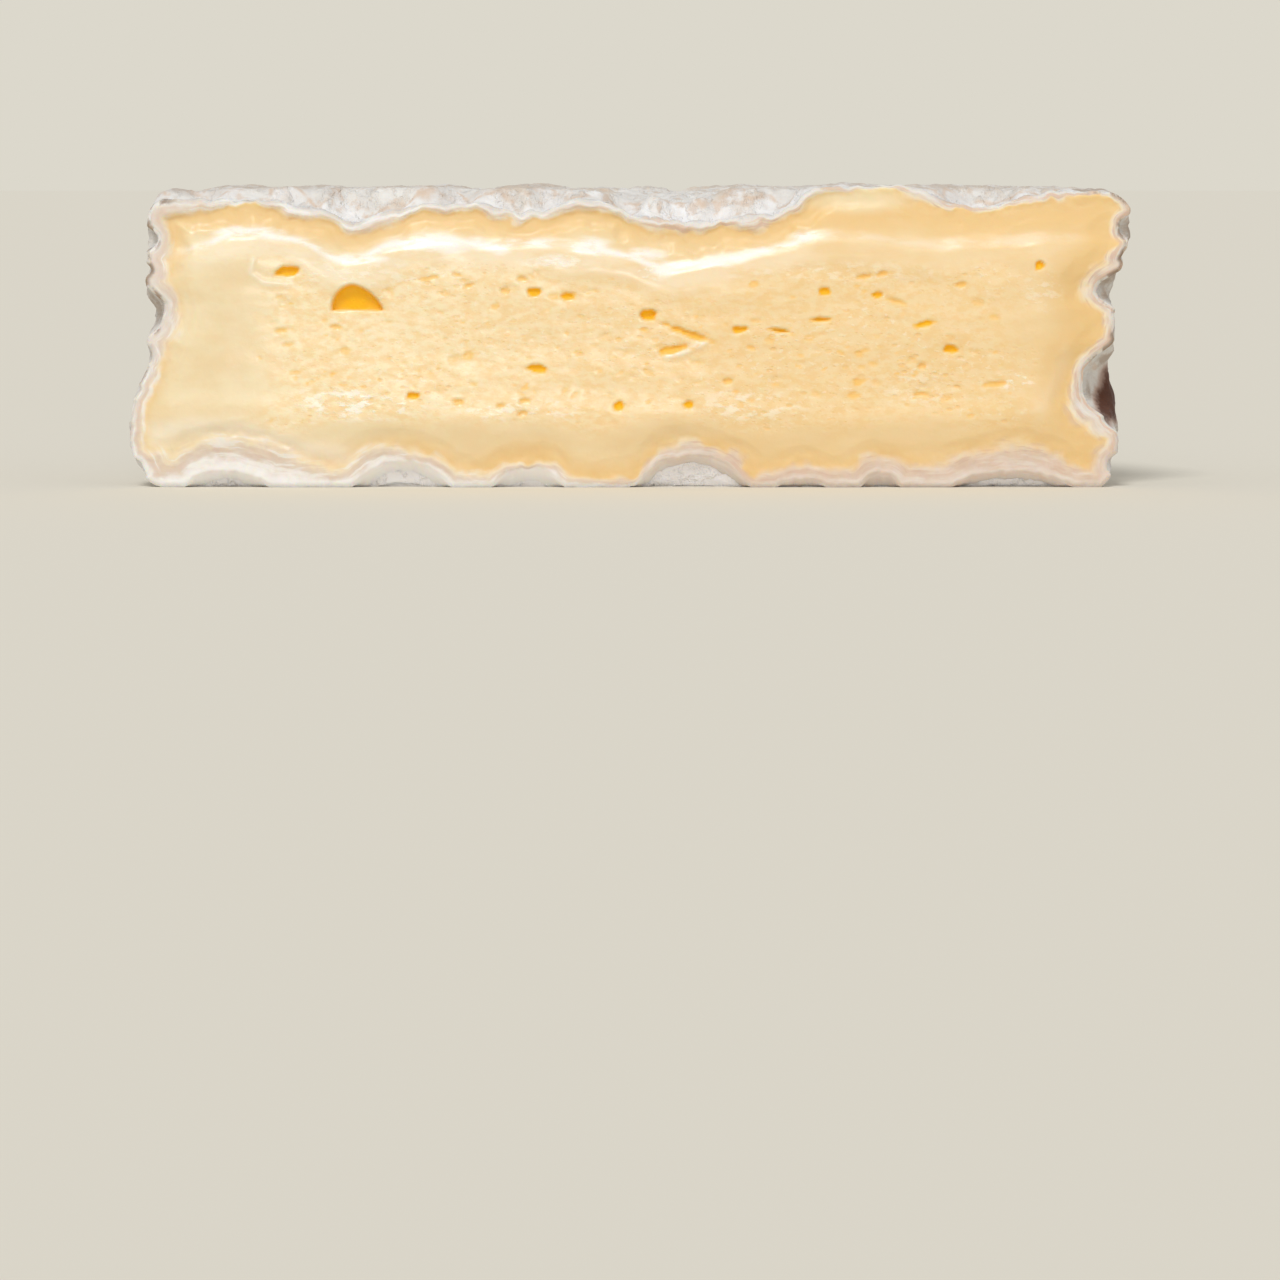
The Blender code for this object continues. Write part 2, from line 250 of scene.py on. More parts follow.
# The fainter band of painted highlight under it: (how far under the shoulder, half width, share)
SECOND_BAND = (1.5, 1.4, 0.22)
# Both lose this share of their moisture and painted highlight along x, and end this far inside the plain
# wheel's radius
MOIST_HIGHLIGHT_LOSS = 0.7
MOIST_HIGHLIGHT_LOSS_RIGHT = (17.0, 23.0)
MOIST_HIGHLIGHT_ENDS = (2.0, 8.0)

# Painted highlights in broad patches, where the shoulder catches the light: (x, z, half width, half
# height)
GLINTS = (
    (-42.0, 28.1, 3.4, 0.5),
    (-29.6, 25.1, 3.4, 0.5),
    (-20.1, 26.6, 4.5, 0.8),
    (-14.4, 26.3, 1.8, 0.6),
    (-9.0, 24.9, 2.6, 0.6),
    (-4.3, 26.4, 2.0, 0.9),
    (1.4, 25.6, 2.6, 0.6),
    (3.6, 23.9, 1.5, 0.8),
    (8.2, 24.6, 3.6, 0.45),
    (19.1, 27.6, 1.5, 0.8),
)
GLINT_SPREAD = 0.7
GLINT_WAVE = (1.6, 0.7, 0.35, 3.7)

# Eyes of the paste: (x, z, width, height, depth, tilt in degrees)
EYES = (
    (-37.6, 23.8, 2.9, 1.1, 1.3, 12.0),
    (-10.6, 21.5, 1.3, 0.9, 0.9, 0.0),
    (-6.9, 21.1, 1.6, 0.8, 0.8, 0.0),
    (2.0, 19.0, 1.8, 1.2, 1.4, 0.0),
    (11.9, 17.4, 1.9, 0.7, 0.9, 6.0),
    (16.1, 17.3, 2.1, 0.45, 1.0, -6.0),
    (20.8, 18.5, 2.1, 0.45, 1.2, 0.0),
    (21.2, 21.6, 1.3, 0.8, 0.7, 0.0),
    (27.1, 21.2, 1.3, 0.7, 0.7, 0.0),
    (32.2, 18.0, 2.4, 0.7, 0.6, 14.0),
    (35.1, 15.2, 1.6, 0.9, 1.0, 0.0),
    (44.8, 24.4, 0.9, 0.9, 0.8, 0.0),
    (-10.2, 13.1, 2.2, 0.9, 0.9, -8.0),
    (-24.0, 10.1, 1.5, 0.9, 0.8, -10.0),
    (-1.3, 9.0, 1.1, 1.0, 0.7, 0.0),
    (6.4, 9.1, 1.1, 1.0, 0.6, 0.0),
)
# Shallow eyes, painted with less of the holes' glow, which show paler: the same measures
FAINT_EYES = (
    (-32.4, 17.7, 1.3, 0.5, 0.5, 0.0),
    (-13.8, 21.6, 1.0, 0.7, 0.6, 0.0),
    (-11.9, 23.0, 1.2, 0.6, 0.5, 0.0),
    (25.6, 23.2, 1.6, 0.6, 0.5, 8.0),
    (27.5, 23.5, 1.2, 0.5, 0.5, 8.0),
    (31.9, 13.4, 0.9, 0.8, 0.6, 0.0),
    (31.9, 10.3, 1.6, 0.5, 0.6, 0.0),
    (36.2, 22.3, 1.2, 0.6, 0.5, 8.0),
    (29.0, 20.5, 2.2, 0.5, 0.5, -16.0),
    (10.6, 11.7, 1.0, 0.7, 0.5, 0.0),
    (-11.6, 9.6, 1.4, 0.6, 0.5, 0.0),
    (-11.9, 8.2, 1.0, 0.6, 0.5, 0.0),
    (-14.3, 9.0, 1.0, 0.5, 0.5, 0.0),
    (-19.0, 9.4, 1.6, 0.6, 0.5, 0.0),
    (-17.8, 22.2, 1.3, 0.5, 0.4, 10.0),
    (-19.1, 23.4, 1.2, 0.4, 0.4, -20.0),
    (-21.7, 23.1, 1.2, 0.4, 0.4, 10.0),
    (13.2, 15.4, 0.9, 0.5, 0.4, 0.0),
    (-38.4, 17.3, 1.3, 0.5, 0.4, 0.0),
    (40.0, 11.4, 2.4, 0.6, 0.4, 4.0),
)
# How much of the painted glow of light filtered through the paste they take, from 0 to 1, where a full
# eye's is 1
FAINT_GLOW = 0.5
FOLDED_GLOW = 0.8
# An eye's edge wavers, and each eye's own place is its x
EYE_EDGE = (0.8, 0.5, 0.45)
EYE_DEPTH_SHARE = 0.5
EYE_ROUNDING = 0.6
EYE_SOFTNESS = 0.24
SOFTEST_EYE = 0.5
# The largest eye is a dome over a level floor: (x, z, width, height, depth)
DOMED_EYE = (-30.0, 19.5, 5.6, 2.8, 2.4)
DOME_LEAN = -0.6
DOME_POINT = 1.65
DOME_FLOOR_STEEP = 2.5
DOME_SOFTNESS = 0.07
# The folded eye is a flap between two slits: (x, z, width, height, depth, tilt)
FOLDED_EYE = (
    (6.3, 17.0, 5.2, 0.70, 0.8, -20.0),
    (4.6, 15.2, 2.9, 1.1, 0.7, 14.0),
)

# The flat shelf under the rind at the upper right: (x, z, half width, half height)
SHELF = (26.0, 30.0, 9.0, 4.5)
# The paler paste at the shelf's upper edge, in the same measures
PALE_SHELF = (25.0, 31.6, 7.5, 2.0)

# The darker paste beside the rind is wider on the shelf and to the right, and narrower low at the
# left end and in the middle, which is (x, half width)
WIDER_SHARE = 0.45
WIDER_RIGHT = (20.0, 55.0)
NARROWER_LEFT = 0.7
NARROW_LEFT = (-44.0, -49.0)
NARROW_BELOW = (25.0, 21.0)
NARROWER_MIDDLE = 0.4
NARROW_MIDDLE = (3.0, 12.0)
# Where the paste grows warmer, where the rind's section is painted lighter at the bottom as painted light
# on its down-facing lip, and where it is stained
WARM_RIGHT = (-35.0, 20.0)
LIT_BELOW = (6.5, 3.0)
STAINED_ENDS = (49.0, 51.5)
STAINED_ABOVE = (9.0, 14.0)

# Pores of the paste's centre: (from x, to x), (from z, to z), thickest at this share of the height
PORE_SEED = 11
PORE_FIELD = ((-46.0, 50.0), (6.0, 25.5))
PORE_CROWDING = 0.3
PORE_SMALLNESS = 2.2
PORE_WIDTH = (0.5, 1.5)
PORE_FLATNESS = (0.3, 0.65)
PORE_TILT = 18.0
PORE_DEPTH_SHARE = 0.16
# How much of the holes' painted glow each pore takes, from least to most
PORE_GLOW = (0.0, 0.45)
# Pale crumbs that the knife raised, and painted highlight specks where the paste catches the light, the
# last two at the shoulder: (x, z, half width, half height, how thick they lie)
CRUMBS_AND_GLINTS = (
    (-30.0, 9.3, 10.0, 2.6, 1.0),
    (-12.0, 8.6, 12.0, 1.8, 0.6),
    (13.0, 9.0, 8.0, 2.4, 0.6),
    (31.0, 11.0, 6.0, 3.0, 0.4),
    (42.0, 11.8, 3.0, 1.4, 0.8),
    (45.0, 21.5, 3.0, 3.0, 0.35),
    (23.0, 23.6, 16.0, 1.6, 0.35),
    (-30.0, 23.5, 14.0, 2.0, 0.4),
    (-8.5, 24.8, 4.5, 1.0, 0.9),
    (2.4, 23.8, 2.6, 1.4, 0.8),
)
# Low folds of the paste: (their line as (x, z), height, half width)
FOLDS = (
    (((-52.0, 6.0), (-48.0, 6.8), (-43.0, 6.2), (-39.0, 5.3), (-35.4, 4.3), (-31.0, 3.2)), 0.14, 1.3),
    (((47.6, 15.0), (46.8, 12.0), (45.0, 8.8)), 0.05, 0.9),
    (((-41.4, 25.0), (-41.7, 23.6), (-40.4, 22.6), (-37.6, 22.3)), 0.12, 0.35),
    (((4.0, 14.4), (6.0, 14.9), (8.0, 15.9)), 0.18, 0.3),
)
FOLD_WAVE = (2.0, 2.0, 0.25, 4.9)
# The folds' crests are painted with the shoulder's highlight colour, fully at this roll height
FOLD_HIGHLIGHT_FULL = 0.25

# The wall behind the cut's outline: (how far behind the cut, how far inside the rind)
WALL_RINGS = ((0.75, 0.0), (1.3, 0.35), (2.2, 1.0), (3.0, 2.0))
# The pocket in the rind at the cut's right end, painted dark brown for its brown rind and painted shade in
# its deep gap: (x, z, half width, half height)
SHADED_POCKET = (52.9, 10.0, 2.5, 4.6)
# It reaches this far behind the cut, and its edge wavers, but not right at the cut
POCKET_BEHIND = (11.0, 5.0)
POCKET_WANDER = 4.0
POCKET_WAVER = 0.45
POCKET_EDGE_KEPT = 3.0
# Noise over the rind's ends, as (length back, length up, place), and over its top, as (length
# across, length back, place)
END_NOISE = (3.2, 2.4, 6.6)
TOP_NOISE = (2.6, 4.0, 2.9)
# The smooth mould in the top's hollows and along the cut, with how much its edge wanders
POOL_DEPTH = 2.0
POOL_LEVEL = 0.75
POOL_WAVER = 0.6
FRONT_POOL = 0.7
FRONT_POOL_BEHIND = (6.5, 0.5)
FRONT_POOL_WANDER = 7.0
# The rind's zones grow over these stretches. The wall and the stained ends, past the plain radius:
WALL_BEGINS = (-3.5, -1.0)
ENDS_BEGIN = (-6.0, -4.0)
# The top, above the plain height, and its bare crests, above the pressed level:
TOP_BEGINS = (-4.0, -2.0)
BARE_BEGINS = (-0.2, 0.3)
# The rind under the cut, painted lighter as painted light in its shaded hollows, above the base and behind
# the cut:
LIT_UNDER_BEGINS = (4.0, 1.0)
NEAR_CUT = (9.0, 3.0)
# The stained ends, above the base and behind the cut, where they begin, end and wander:
ENDS_ABOVE = (0.0, 4.0)
ENDS_FRONT = (1.5, 3.5)
ENDS_BEHIND = (14.0, 5.0)
ENDS_WANDER = 9.0
LEFT_END_SHARE = 0.8
# How strongly ridges show, and the height of a crinkle's crest
RIDGE_GAIN = 0.8
CREST_HEIGHT = 0.6

# The plain half wheel before it is shaped, and how far it stands out in front of the cut
WHEEL_SIDES = 256
RIM_STEPS = 6
FRONT_SPARE = 2.5
# How finely its round wall is read to find the solid's frame
TURN_STEPS = 361
LEVEL_STEPS = 67
# The rind begins this far behind the cut, under the rounded lip, and its cap is sunk behind it
RIND_STARTS = 0.45
TUCK_DEPTH = 0.25
TUCK_REACH = 1.1
CAP_DEPTH = 4.0
CAP_SHRINK = (0.965, 1.0, 0.88)

# The rind's section from its outer skin inwards: (share of the way, screen colour)
SECTION_COLOURS = (
    (0.0, (216, 209, 201)),
    (0.26, (225, 217, 208)),
    (0.42, (222, 206, 190)),
    (0.52, (226, 210, 190)),
    (0.64, (237, 222, 197)),
    (0.80, (241, 221, 183)),
)

# A pit's largest radius as a share of their spacing, and how its edge fades
PIT_RADIUS = 0.26
PIT_EDGE = (-0.06, 0.10)

# The studio, in metres and degrees: (how soft a light is, where it shines from)
KEY_LIGHT = (18.0, (-0.22, -0.8, 1.0))
FILL_LIGHT = (12.0, (0.1, -1.0, 0.1))
FLOOR_RADIUS = 6.0
FLOOR_SIDES = 96
CAMERA_RIGHT = 0.0012
SENSOR_WIDTH = 36.0
NEAREST_SEEN = 0.01
FURTHEST_SEEN = 50.0

CAD_NODE = "half_wheel"
BODY = "root"


def bowl(offset):
    """A smooth hollow: 1 at its middle and 0 from offset 1 outwards, flatter inside than at its side."""
    reach = np.minimum(1.0, np.abs(offset))
    return (1.0 - reach**3) ** 2


def ease(share):
    """0 below share 0, 1 above share 1, and a smooth climb between them."""
    share = np.clip(share, 0.0, 1.0)
    return share * share * (3.0 - 2.0 * share)


def climb(place, stretch):
    """0 before a stretch's start, 1 past its end, and a smooth climb between them."""
    start, end = stretch
    return ease((place - start) / (end - start))


def at_least(least, share):
    """A share that goes down to this least and not to 0."""
    return least + (1.0 - least) * share


def ridge(offset):
    """A soft roll: 1 at its line and fading to both sides."""
    return np.exp(-(offset**2))


def roll(place, middle, half_width, height):
    """A soft roll of this height along its middle."""
    return height * ridge((place - middle) / half_width)


def follow(distance, span):
    """How much of the rind's movement reaches the paste at this distance under the rind."""
    return np.clip(1.0 - distance / span, 0.0, 1.0) ** 2


def noise_at(x, y, z):
    """Soft noise, from -1 to 1, at arrays of places."""
    places = np.broadcast_arrays(x, y, z)
    return np.array([noise.noise(place) for place in zip(*(axis.tolist() for axis in places))])


def waver(x, z, *waves):
    """The sum of some soft waves at places on the cut."""
    return sum(height * noise_at(x / long, place, z / tall) for long, tall, height, place in waves)


def spot_reach(x, z, spot):
    """How far places lie from a spot's middle, 1 at its edge: (x, z, half width, half height)."""
    middle_x, middle_z, half_width, half_height = spot
    return np.hypot((x - middle_x) / half_width, (z - middle_z) / half_height)


def sunk(hollows, along, back):
    """How deep the rind lies at places along the cut's edge and this far behind the cut."""
    depth_there = np.zeros_like(along)
    for middle, half_width, depth, reach in hollows:
        depth_there += depth * bowl(np.hypot((along - middle) / half_width, back / reach))
    return depth_there


def wall_wrinkle(along, z):
    """Long level creases of the round wall, which fade out at the top and the bottom."""
    crease = noise_at(along / WALL_WRINKLE_LONG, z / WALL_WRINKLE_TALL, WALL_CREASE_PLACE)
    crease = 1.0 - 2.0 * np.abs(crease) - WALL_CREASE_SHARE
    swell = noise_at(along / (2.0 * WALL_WRINKLE_LONG), z / HEIGHT, WALL_SWELL_PLACE)
    fade = ease(z / FADE_AT_BOTTOM) * ease((HEIGHT - z) / FADE_AT_TOP)
    return WALL_WRINKLE_DEPTH * (WALL_CREASE_SHARE * crease + swell) * fade


def rack_mark(x, y, place):
    """Long broken furrows, square to the cut, where the wheel lay on its drying rack."""
    return noise_at(x / RACK_MARK_WIDE, y / RACK_MARK_LONG, place)


def crinkle(x, y, z):
    """Small creases all over the rind, as a height over it."""
    height = np.zeros_like(x)
    for wavelength, size in CRINKLES:
        lumps = noise_at(x / wavelength, y / wavelength, z / wavelength)
        height += size * (2.0 * np.abs(lumps) - CRINKLE_LEVEL)
    return height


def height_along(line, x):
    """The height of a line across the cut at these places, its corners evened out to a curve."""
    line = np.array(line)
    across = np.linspace(line[0, 0], line[-1, 0], LINE_STEPS)
    height = np.interp(across, line[:, 0], line[:, 1])
    window = np.hanning(LINE_EVENED)
    padded = np.pad(height, LINE_EVENED // 2, mode="edge")
    height = np.convolve(padded, window / window.sum(), mode="valid")
    return np.interp(x, across, height)


def under_shoulder(x, z):
    """How far places lie under the paste's upper shoulder, whose line wanders a little."""
    return height_along(SHOULDER_LINE, x) - z + waver(x, z, SHOULDER_WAVE)


def shaped(x, y, z):
    """Where points of the plain half wheel lie in the real one, fine crinkles included."""
    radius = np.maximum(np.hypot(x, y), 1e-6)
    fade = ease(y / FADE_AT_CUT)
    crinkled = crinkle(x, y, z) * (1.0 + CRINKLE_GAIN * fade)

    behind_cut = RADIUS * np.arctan2(y, np.abs(x))
    along = RADIUS * np.arctan2(y, x)
    sides = (sunk(hollows, z, behind_cut) for hollows in (LEFT_HOLLOWS, RIGHT_HOLLOWS))
    side_depth = np.where(x < 0.0, *sides)
    outwards = wall_wrinkle(along, z) * ease(behind_cut / FADE_AT_CUT) - side_depth
    pocket_z, pocket_y, half_width, height = POCKET_BACK
    bulge = height * bowl(np.hypot(z - pocket_z, behind_cut - pocket_y) / half_width)
    outwards += np.where(x > 0.0, bulge, 0.0)
    from_wall = RADIUS - radius
    grown = outwards * follow(from_wall, WALL_FOLLOWS)
    grown += crinkled * follow(from_wall, CRINKLE_FOLLOWS)
    grown = 1.0 + grown / radius

    up = TOP_MARK_DEPTH * (rack_mark(x, y, TOP_MARK_PLACE) - TOP_MARK_LEVEL) * fade
    at_cut = HEIGHT - height_along(RIND_LINE, x) + waver(x, 0.0, RIND_LINE_WAVE)
    up -= at_cut + (sunk(TOP_HOLLOWS, x, y) - at_cut) * ease(y / RIND_LINE_REACH)
    bottom_mark = np.maximum(0.0, rack_mark(x, y, BOTTOM_MARK_PLACE) - BOTTOM_MARK_LEVEL)
    rise = BOTTOM_MARK_DEPTH * bottom_mark * fade
    rise += sunk(BOTTOM_HOLLOWS, x, HOLLOW_BACK * y) - BASE_PRESSED
    under_top = HEIGHT - z
    z_moved = z + up * follow(under_top, TOP_FOLLOWS) + rise * follow(z, BOTTOM_FOLLOWS)
    z_moved += crinkled * (follow(under_top, CRINKLE_FOLLOWS) - follow(z, CRINKLE_FOLLOWS))
    z_moved -= (1.0 - PRESSED_SHARE) * np.maximum(0.0, z_moved - PRESSED_LEVEL)
    return x * grown, y * grown, np.maximum(z_moved, 0.0)


def frame_shift():
    """How far the plain wheel's axis and cut lie from the solid's own origin, in millimetres."""
    turns = np.linspace(0.0, math.pi, TURN_STEPS)
    levels = np.linspace(0.0, HEIGHT, LEVEL_STEPS)
    turn, level = (grid.ravel() for grid in np.meshgrid(turns, levels))
    x, y, _ = shaped(RADIUS * np.cos(turn), RADIUS * np.sin(turn), level)
    low, high = (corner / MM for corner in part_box(CAD_NODE))
    middle = (low.x + high.x) / 2.0
    return np.array((middle - (x.min() + x.max()) / 2.0, high.y - y.max(), 0.0))


def round_corner(x, z):
    """Rounds the corners of the plain cut, a rectangle, to the wheel's rim."""
    inner_x = np.clip(x, -RADIUS + RIM_ROUNDING, RADIUS - RIM_ROUNDING)
    inner_z = np.clip(z, RIM_ROUNDING, HEIGHT - RIM_ROUNDING)
    out_x = x - inner_x
    out_z = z - inner_z
    in_corner = (out_x != 0.0) & (out_z != 0.0)
    length = np.where(in_corner, np.hypot(out_x, out_z), 1.0)
    shrink = np.where(in_corner, np.maximum(np.abs(out_x), np.abs(out_z)) / length, 1.0)
    return inner_x + out_x * shrink, inner_z + out_z * shrink


def read_points(piece):
    """A mesh's points as three arrays, in millimetres."""
    points = np.empty(len(piece.data.vertices) * 3)
    piece.data.vertices.foreach_get("co", points)
    return (points.reshape(-1, 3) / MM).T


def write_points(piece, places, shift):
    """Puts a mesh's points at these places, in millimetres and moved into the solid's frame."""
    points = (np.stack(places, axis=1) + shift) * MM
    piece.data.vertices.foreach_set("co", points.ravel())
    piece.data.update()


def keep_values(piece, values):
    """Keeps numbers for each point of a mesh, which its material reads by their names."""
    for name, numbers in values.items():
        attribute = piece.data.attributes.new(name, "FLOAT", "POINT")
        attribute.data.foreach_set("value", numbers.astype(np.float32))


def deselect_all():
    if bpy.context.object and bpy.context.object.mode != "OBJECT":
        bpy.ops.object.mode_set(mode="OBJECT")
    bpy.ops.object.select_all(action="DESELECT")


def apply_modifiers(piece):
    for modifier in list(piece.modifiers):
        bpy.ops.object.modifier_apply(modifier=modifier.name)


def dress(piece, material):
    """Gives a finished piece its material and its place in the frame."""
    piece.data.materials.clear()
    piece.data.materials.append(material)
    for polygon in piece.data.polygons:
        polygon.use_smooth = True
    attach(piece, BODY)
    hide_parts(CAD_NODE)


def outline_finder(x, z):
    """A search tree over points spread closely along the outline of the cut."""
    finder = kdtree.KDTree(len(x))
    for number, place in enumerate(zip(x.tolist(), [0.0] * len(x), z.tolist())):
        finder.insert(place, number)
    finder.balance()
    return finder


def edge_distance(x, z, finder):
    """How far places on the cut lie from its outline."""
    return np.array([finder.find((a, 0.0, b))[2] for a, b in zip(x.tolist(), z.tolist())])


def tilted(x, z, middle_x, middle_z, width, height, tilt):
    """Places in an eye's own measure, in which its edge is 1 from its middle."""
    turn = math.radians(tilt)
    right = (x - middle_x) * math.cos(turn) + (z - middle_z) * math.sin(turn)
    up = (z - middle_z) * math.cos(turn) - (x - middle_x) * math.sin(turn)
    return right / (width / 2.0), up / (height / 2.0)


class Hollows:
    """The eyes and pores of the paste, gathered over the points of the cut, with the painted glow of
    filtered light in them.
    """

    def __init__(self, x, z):
        self.x = x
        self.z = z
        self.depth = np.zeros_like(x)
        self.hole_glow = np.zeros_like(x)

    def dig(self, near, reach, depth, hole_glow, softness):
        """Digs at the near points where reach, 1 at the hollow's edge, is small."""
        steep = ease((1.0 + softness - reach) / (2.0 * softness))
        self.depth[near] = np.maximum(self.depth[near], depth * steep)
        self.hole_glow[near] = np.maximum(self.hole_glow[near], hole_glow * steep)

    def add_eye(self, middle_x, middle_z, width, height, depth, tilt, hole_glow):
        """An uneven oval eye, softer at its edge the flatter it is."""
        near = (np.abs(self.x - middle_x) < width) & (np.abs(self.z - middle_z) < width)
        x, z = self.x[near], self.z[near]
        reach = np.hypot(*tilted(x, z, middle_x, middle_z, width, height, tilt))
        reach += waver(x, z, (*EYE_EDGE, middle_x))
        bottom = depth * EYE_DEPTH_SHARE * np.sqrt(np.maximum(0.0, 1.0 - EYE_ROUNDING * reach**2))
        self.dig(near, reach, bottom, hole_glow, min(SOFTEST_EYE, EYE_SOFTNESS / height))

    def add_dome(self, middle_x, floor, width, height, depth):
        """An eye with a level floor under a round roof."""
        up = (self.z - floor) / height
        right = (self.x - middle_x - DOME_LEAN * up) / (width / 2.0)
        roof = np.abs(right) ** DOME_POINT + np.maximum(up, 0.0) ** DOME_POINT
        reach = np.maximum(roof ** (1.0 / DOME_POINT), 1.0 - DOME_FLOOR_STEEP * up)
        self.dig(slice(None), reach, depth * EYE_DEPTH_SHARE, 1.0, DOME_SOFTNESS)

    def add_pores(self, count):
        """Small flat pores, thickest in the lower half of the paste's centre."""
        draw = np.random.default_rng(PORE_SEED)
        (left, right), (low, high) = PORE_FIELD
        across = draw.uniform(left, right, count)
        level = draw.triangular(low, low + PORE_CROWDING * (high - low), high, count)
        kept = draw.uniform(0.0, 1.0, count) < centre_share(across, level) ** 2
        for x, z in zip(across[kept], level[kept]):
            size = draw.uniform(0.0, 1.0) ** PORE_SMALLNESS
            width = PORE_WIDTH[0] + (PORE_WIDTH[1] - PORE_WIDTH[0]) * size
            height = width * draw.uniform(*PORE_FLATNESS)
            tilt = draw.normal(0.0, PORE_TILT)
            hole_glow = draw.uniform(*PORE_GLOW)
            self.add_eye(x, z, width, height, width * PORE_DEPTH_SHARE, tilt, hole_glow)


def rind_thickness(x, z):
    """How thick the rind's section is at places on the cut."""
    thickness = RIND_THICKNESS * (1.0 + waver(x, z, *RIND_WAVES))
    thickness -= TOP_RIND_THINNER * climb(z, TOP_RIND)
    for middle_x, middle_z, half_width, extra in THICK_RIND:
        thickness += extra * bowl(np.hypot(x - middle_x, z - middle_z) / half_width)
    return np.maximum(thickness, THINNEST_RIND)


def centre_share(x, z):
    """1 in the porous centre of the paste and 0 in the smooth ripe zone round it."""
    wave = waver(x, z, CENTRE_WAVE)
    under = height_along(SHOULDER_LINE, x) - z
    across = climb(x + wave, CENTRE_LEFT) * climb(x - wave, CENTRE_RIGHT)
    return across * climb(under + wave, CENTRE_TOP) * climb(z + wave, CENTRE_BOTTOM)


def crumb_and_glint_share(x, z):
    """How thickly pale crumbs and painted highlight specks lie at places on the cut, from 0 to 1."""
    share = np.zeros_like(x)
    for *spot, most in CRUMBS_AND_GLINTS:
        share = np.maximum(share, most * bowl(spot_reach(x, z, spot)))
    return share


def line_distance(line, x, z):
    """How far places on the cut lie from a line of straight stretches."""
    nearest = np.full_like(x, np.inf)
    for (x_from, z_from), (x_to, z_to) in zip(line, line[1:]):
        long_x, long_z = x_to - x_from, z_to - z_from
        share = ((x - x_from) * long_x + (z - z_from) * long_z) / (long_x**2 + long_z**2)
        share = np.clip(share, 0.0, 1.0)
        distance = np.hypot(x - x_from - share * long_x, z - z_from - share * long_z)
        nearest = np.minimum(nearest, distance)
    return nearest


def fold_share(x, z):
    """The rolls of the folds over the paste, each from 0 to its height."""
    wander = waver(x, z, FOLD_WAVE)
    return sum(
        roll(line_distance(line, x, z) + wander, 0.0, width, height) for line, height, width in FOLDS
    )


def moist_highlight_share(x, z):
    """1 along the paste's moist upper shoulder and its painted highlight, and 0 away from it."""
    under = under_shoulder(x, z)
    width = MOIST_HIGHLIGHT_BAND + np.maximum(0.0, waver(x, 0.0, MOIST_HIGHLIGHT_BAND_WAVE))
    share = np.maximum(ridge(under / width), roll(under, *SECOND_BAND))
    share *= 1.0 - MOIST_HIGHLIGHT_LOSS * climb(x, MOIST_HIGHLIGHT_LOSS_RIGHT)
    share *= climb(RADIUS - np.abs(x), MOIST_HIGHLIGHT_ENDS)
    wave = waver(x, z, GLINT_WAVE)
    for spot in GLINTS:
        share = np.maximum(share, bowl(GLINT_SPREAD * spot_reach(x, z, spot) + wave))
    return share


def paste_relief(plain_x, plain_z, x, z, from_edge, thickness):
    """How far the cut stands forward at each of its points."""
    lip = -LIP_SETBACK * (1.0 - ease(from_edge / LIP_ROUNDING))
    groove = -GROOVE_DEPTH * bowl((from_edge - thickness - GROOVE_WIDTH / 2.0) / GROOVE_WIDTH)
    groove *= at_least(GROOVE_LEAST, climb(plain_z, GROOVE_UP) * climb(plain_x, GROOVE_LEFT))

    under = under_shoulder(x, z)
    rise = (1.0 - SHOULDER_STEP) * ease(0.5 + under / SHOULDER_SLOPE_TALL)
    rise += SHOULDER_STEP * ease(0.5 + under / SHOULDER_STEP_TALL)
    rise *= at_least(SWELL_LOW_LEAST, ease(plain_z / SWELL_LOW_REACH))
    rise *= at_least(SWELL_END_LEAST, ease((RADIUS - np.abs(plain_x)) / SWELL_END_REACH))
    swell = SWELL_FORWARD * rise * (1.0 + waver(x, z, SWELL_WAVE))
    rolls = roll(under, *SHOULDER_ROLL) * (1.0 + waver(x, 0.0, ROLL_WAVE)) + roll(z, *FOOT_ROLL)

    centre = centre_share(x, z)
    waves = waver(x, z, *PASTE_WAVES) + moist_highlight_share(x, z) * waver(x, z, *MOIST_WAVES)
    waves += fold_share(x, z)
    grain = centre * waver(x, z, GRAIN_WAVE)
    grain += crumb_and_glint_share(x, z) * np.maximum(0.0, waver(x, z, CRUMB_WAVE))
    inside = ease((from_edge - thickness) / PASTE_STARTS)
    paste = rolls * rise - CENTRE_SUNK * centre + waves + grain
    return lip + groove + swell + paste * inside + waver(x, z, *SECTION_WAVES) * (1.0 - inside)


def groove_distance(x, z, from_edge):
    """How far places lie from the rind, less where the darker paste beside it is wider."""
    wider = 1.0 - WIDER_SHARE * climb(x, WIDER_RIGHT)
    wider *= 1.0 - WIDER_SHARE * bowl(spot_reach(x, z, SHELF))
    middle, half_width = NARROW_MIDDLE
    narrower = 1.0 + NARROWER_LEFT * climb(x, NARROW_LEFT) * climb(z, NARROW_BELOW)
    narrower += NARROWER_MIDDLE * bowl((x - middle) / half_width)
    return from_edge * wider * narrower


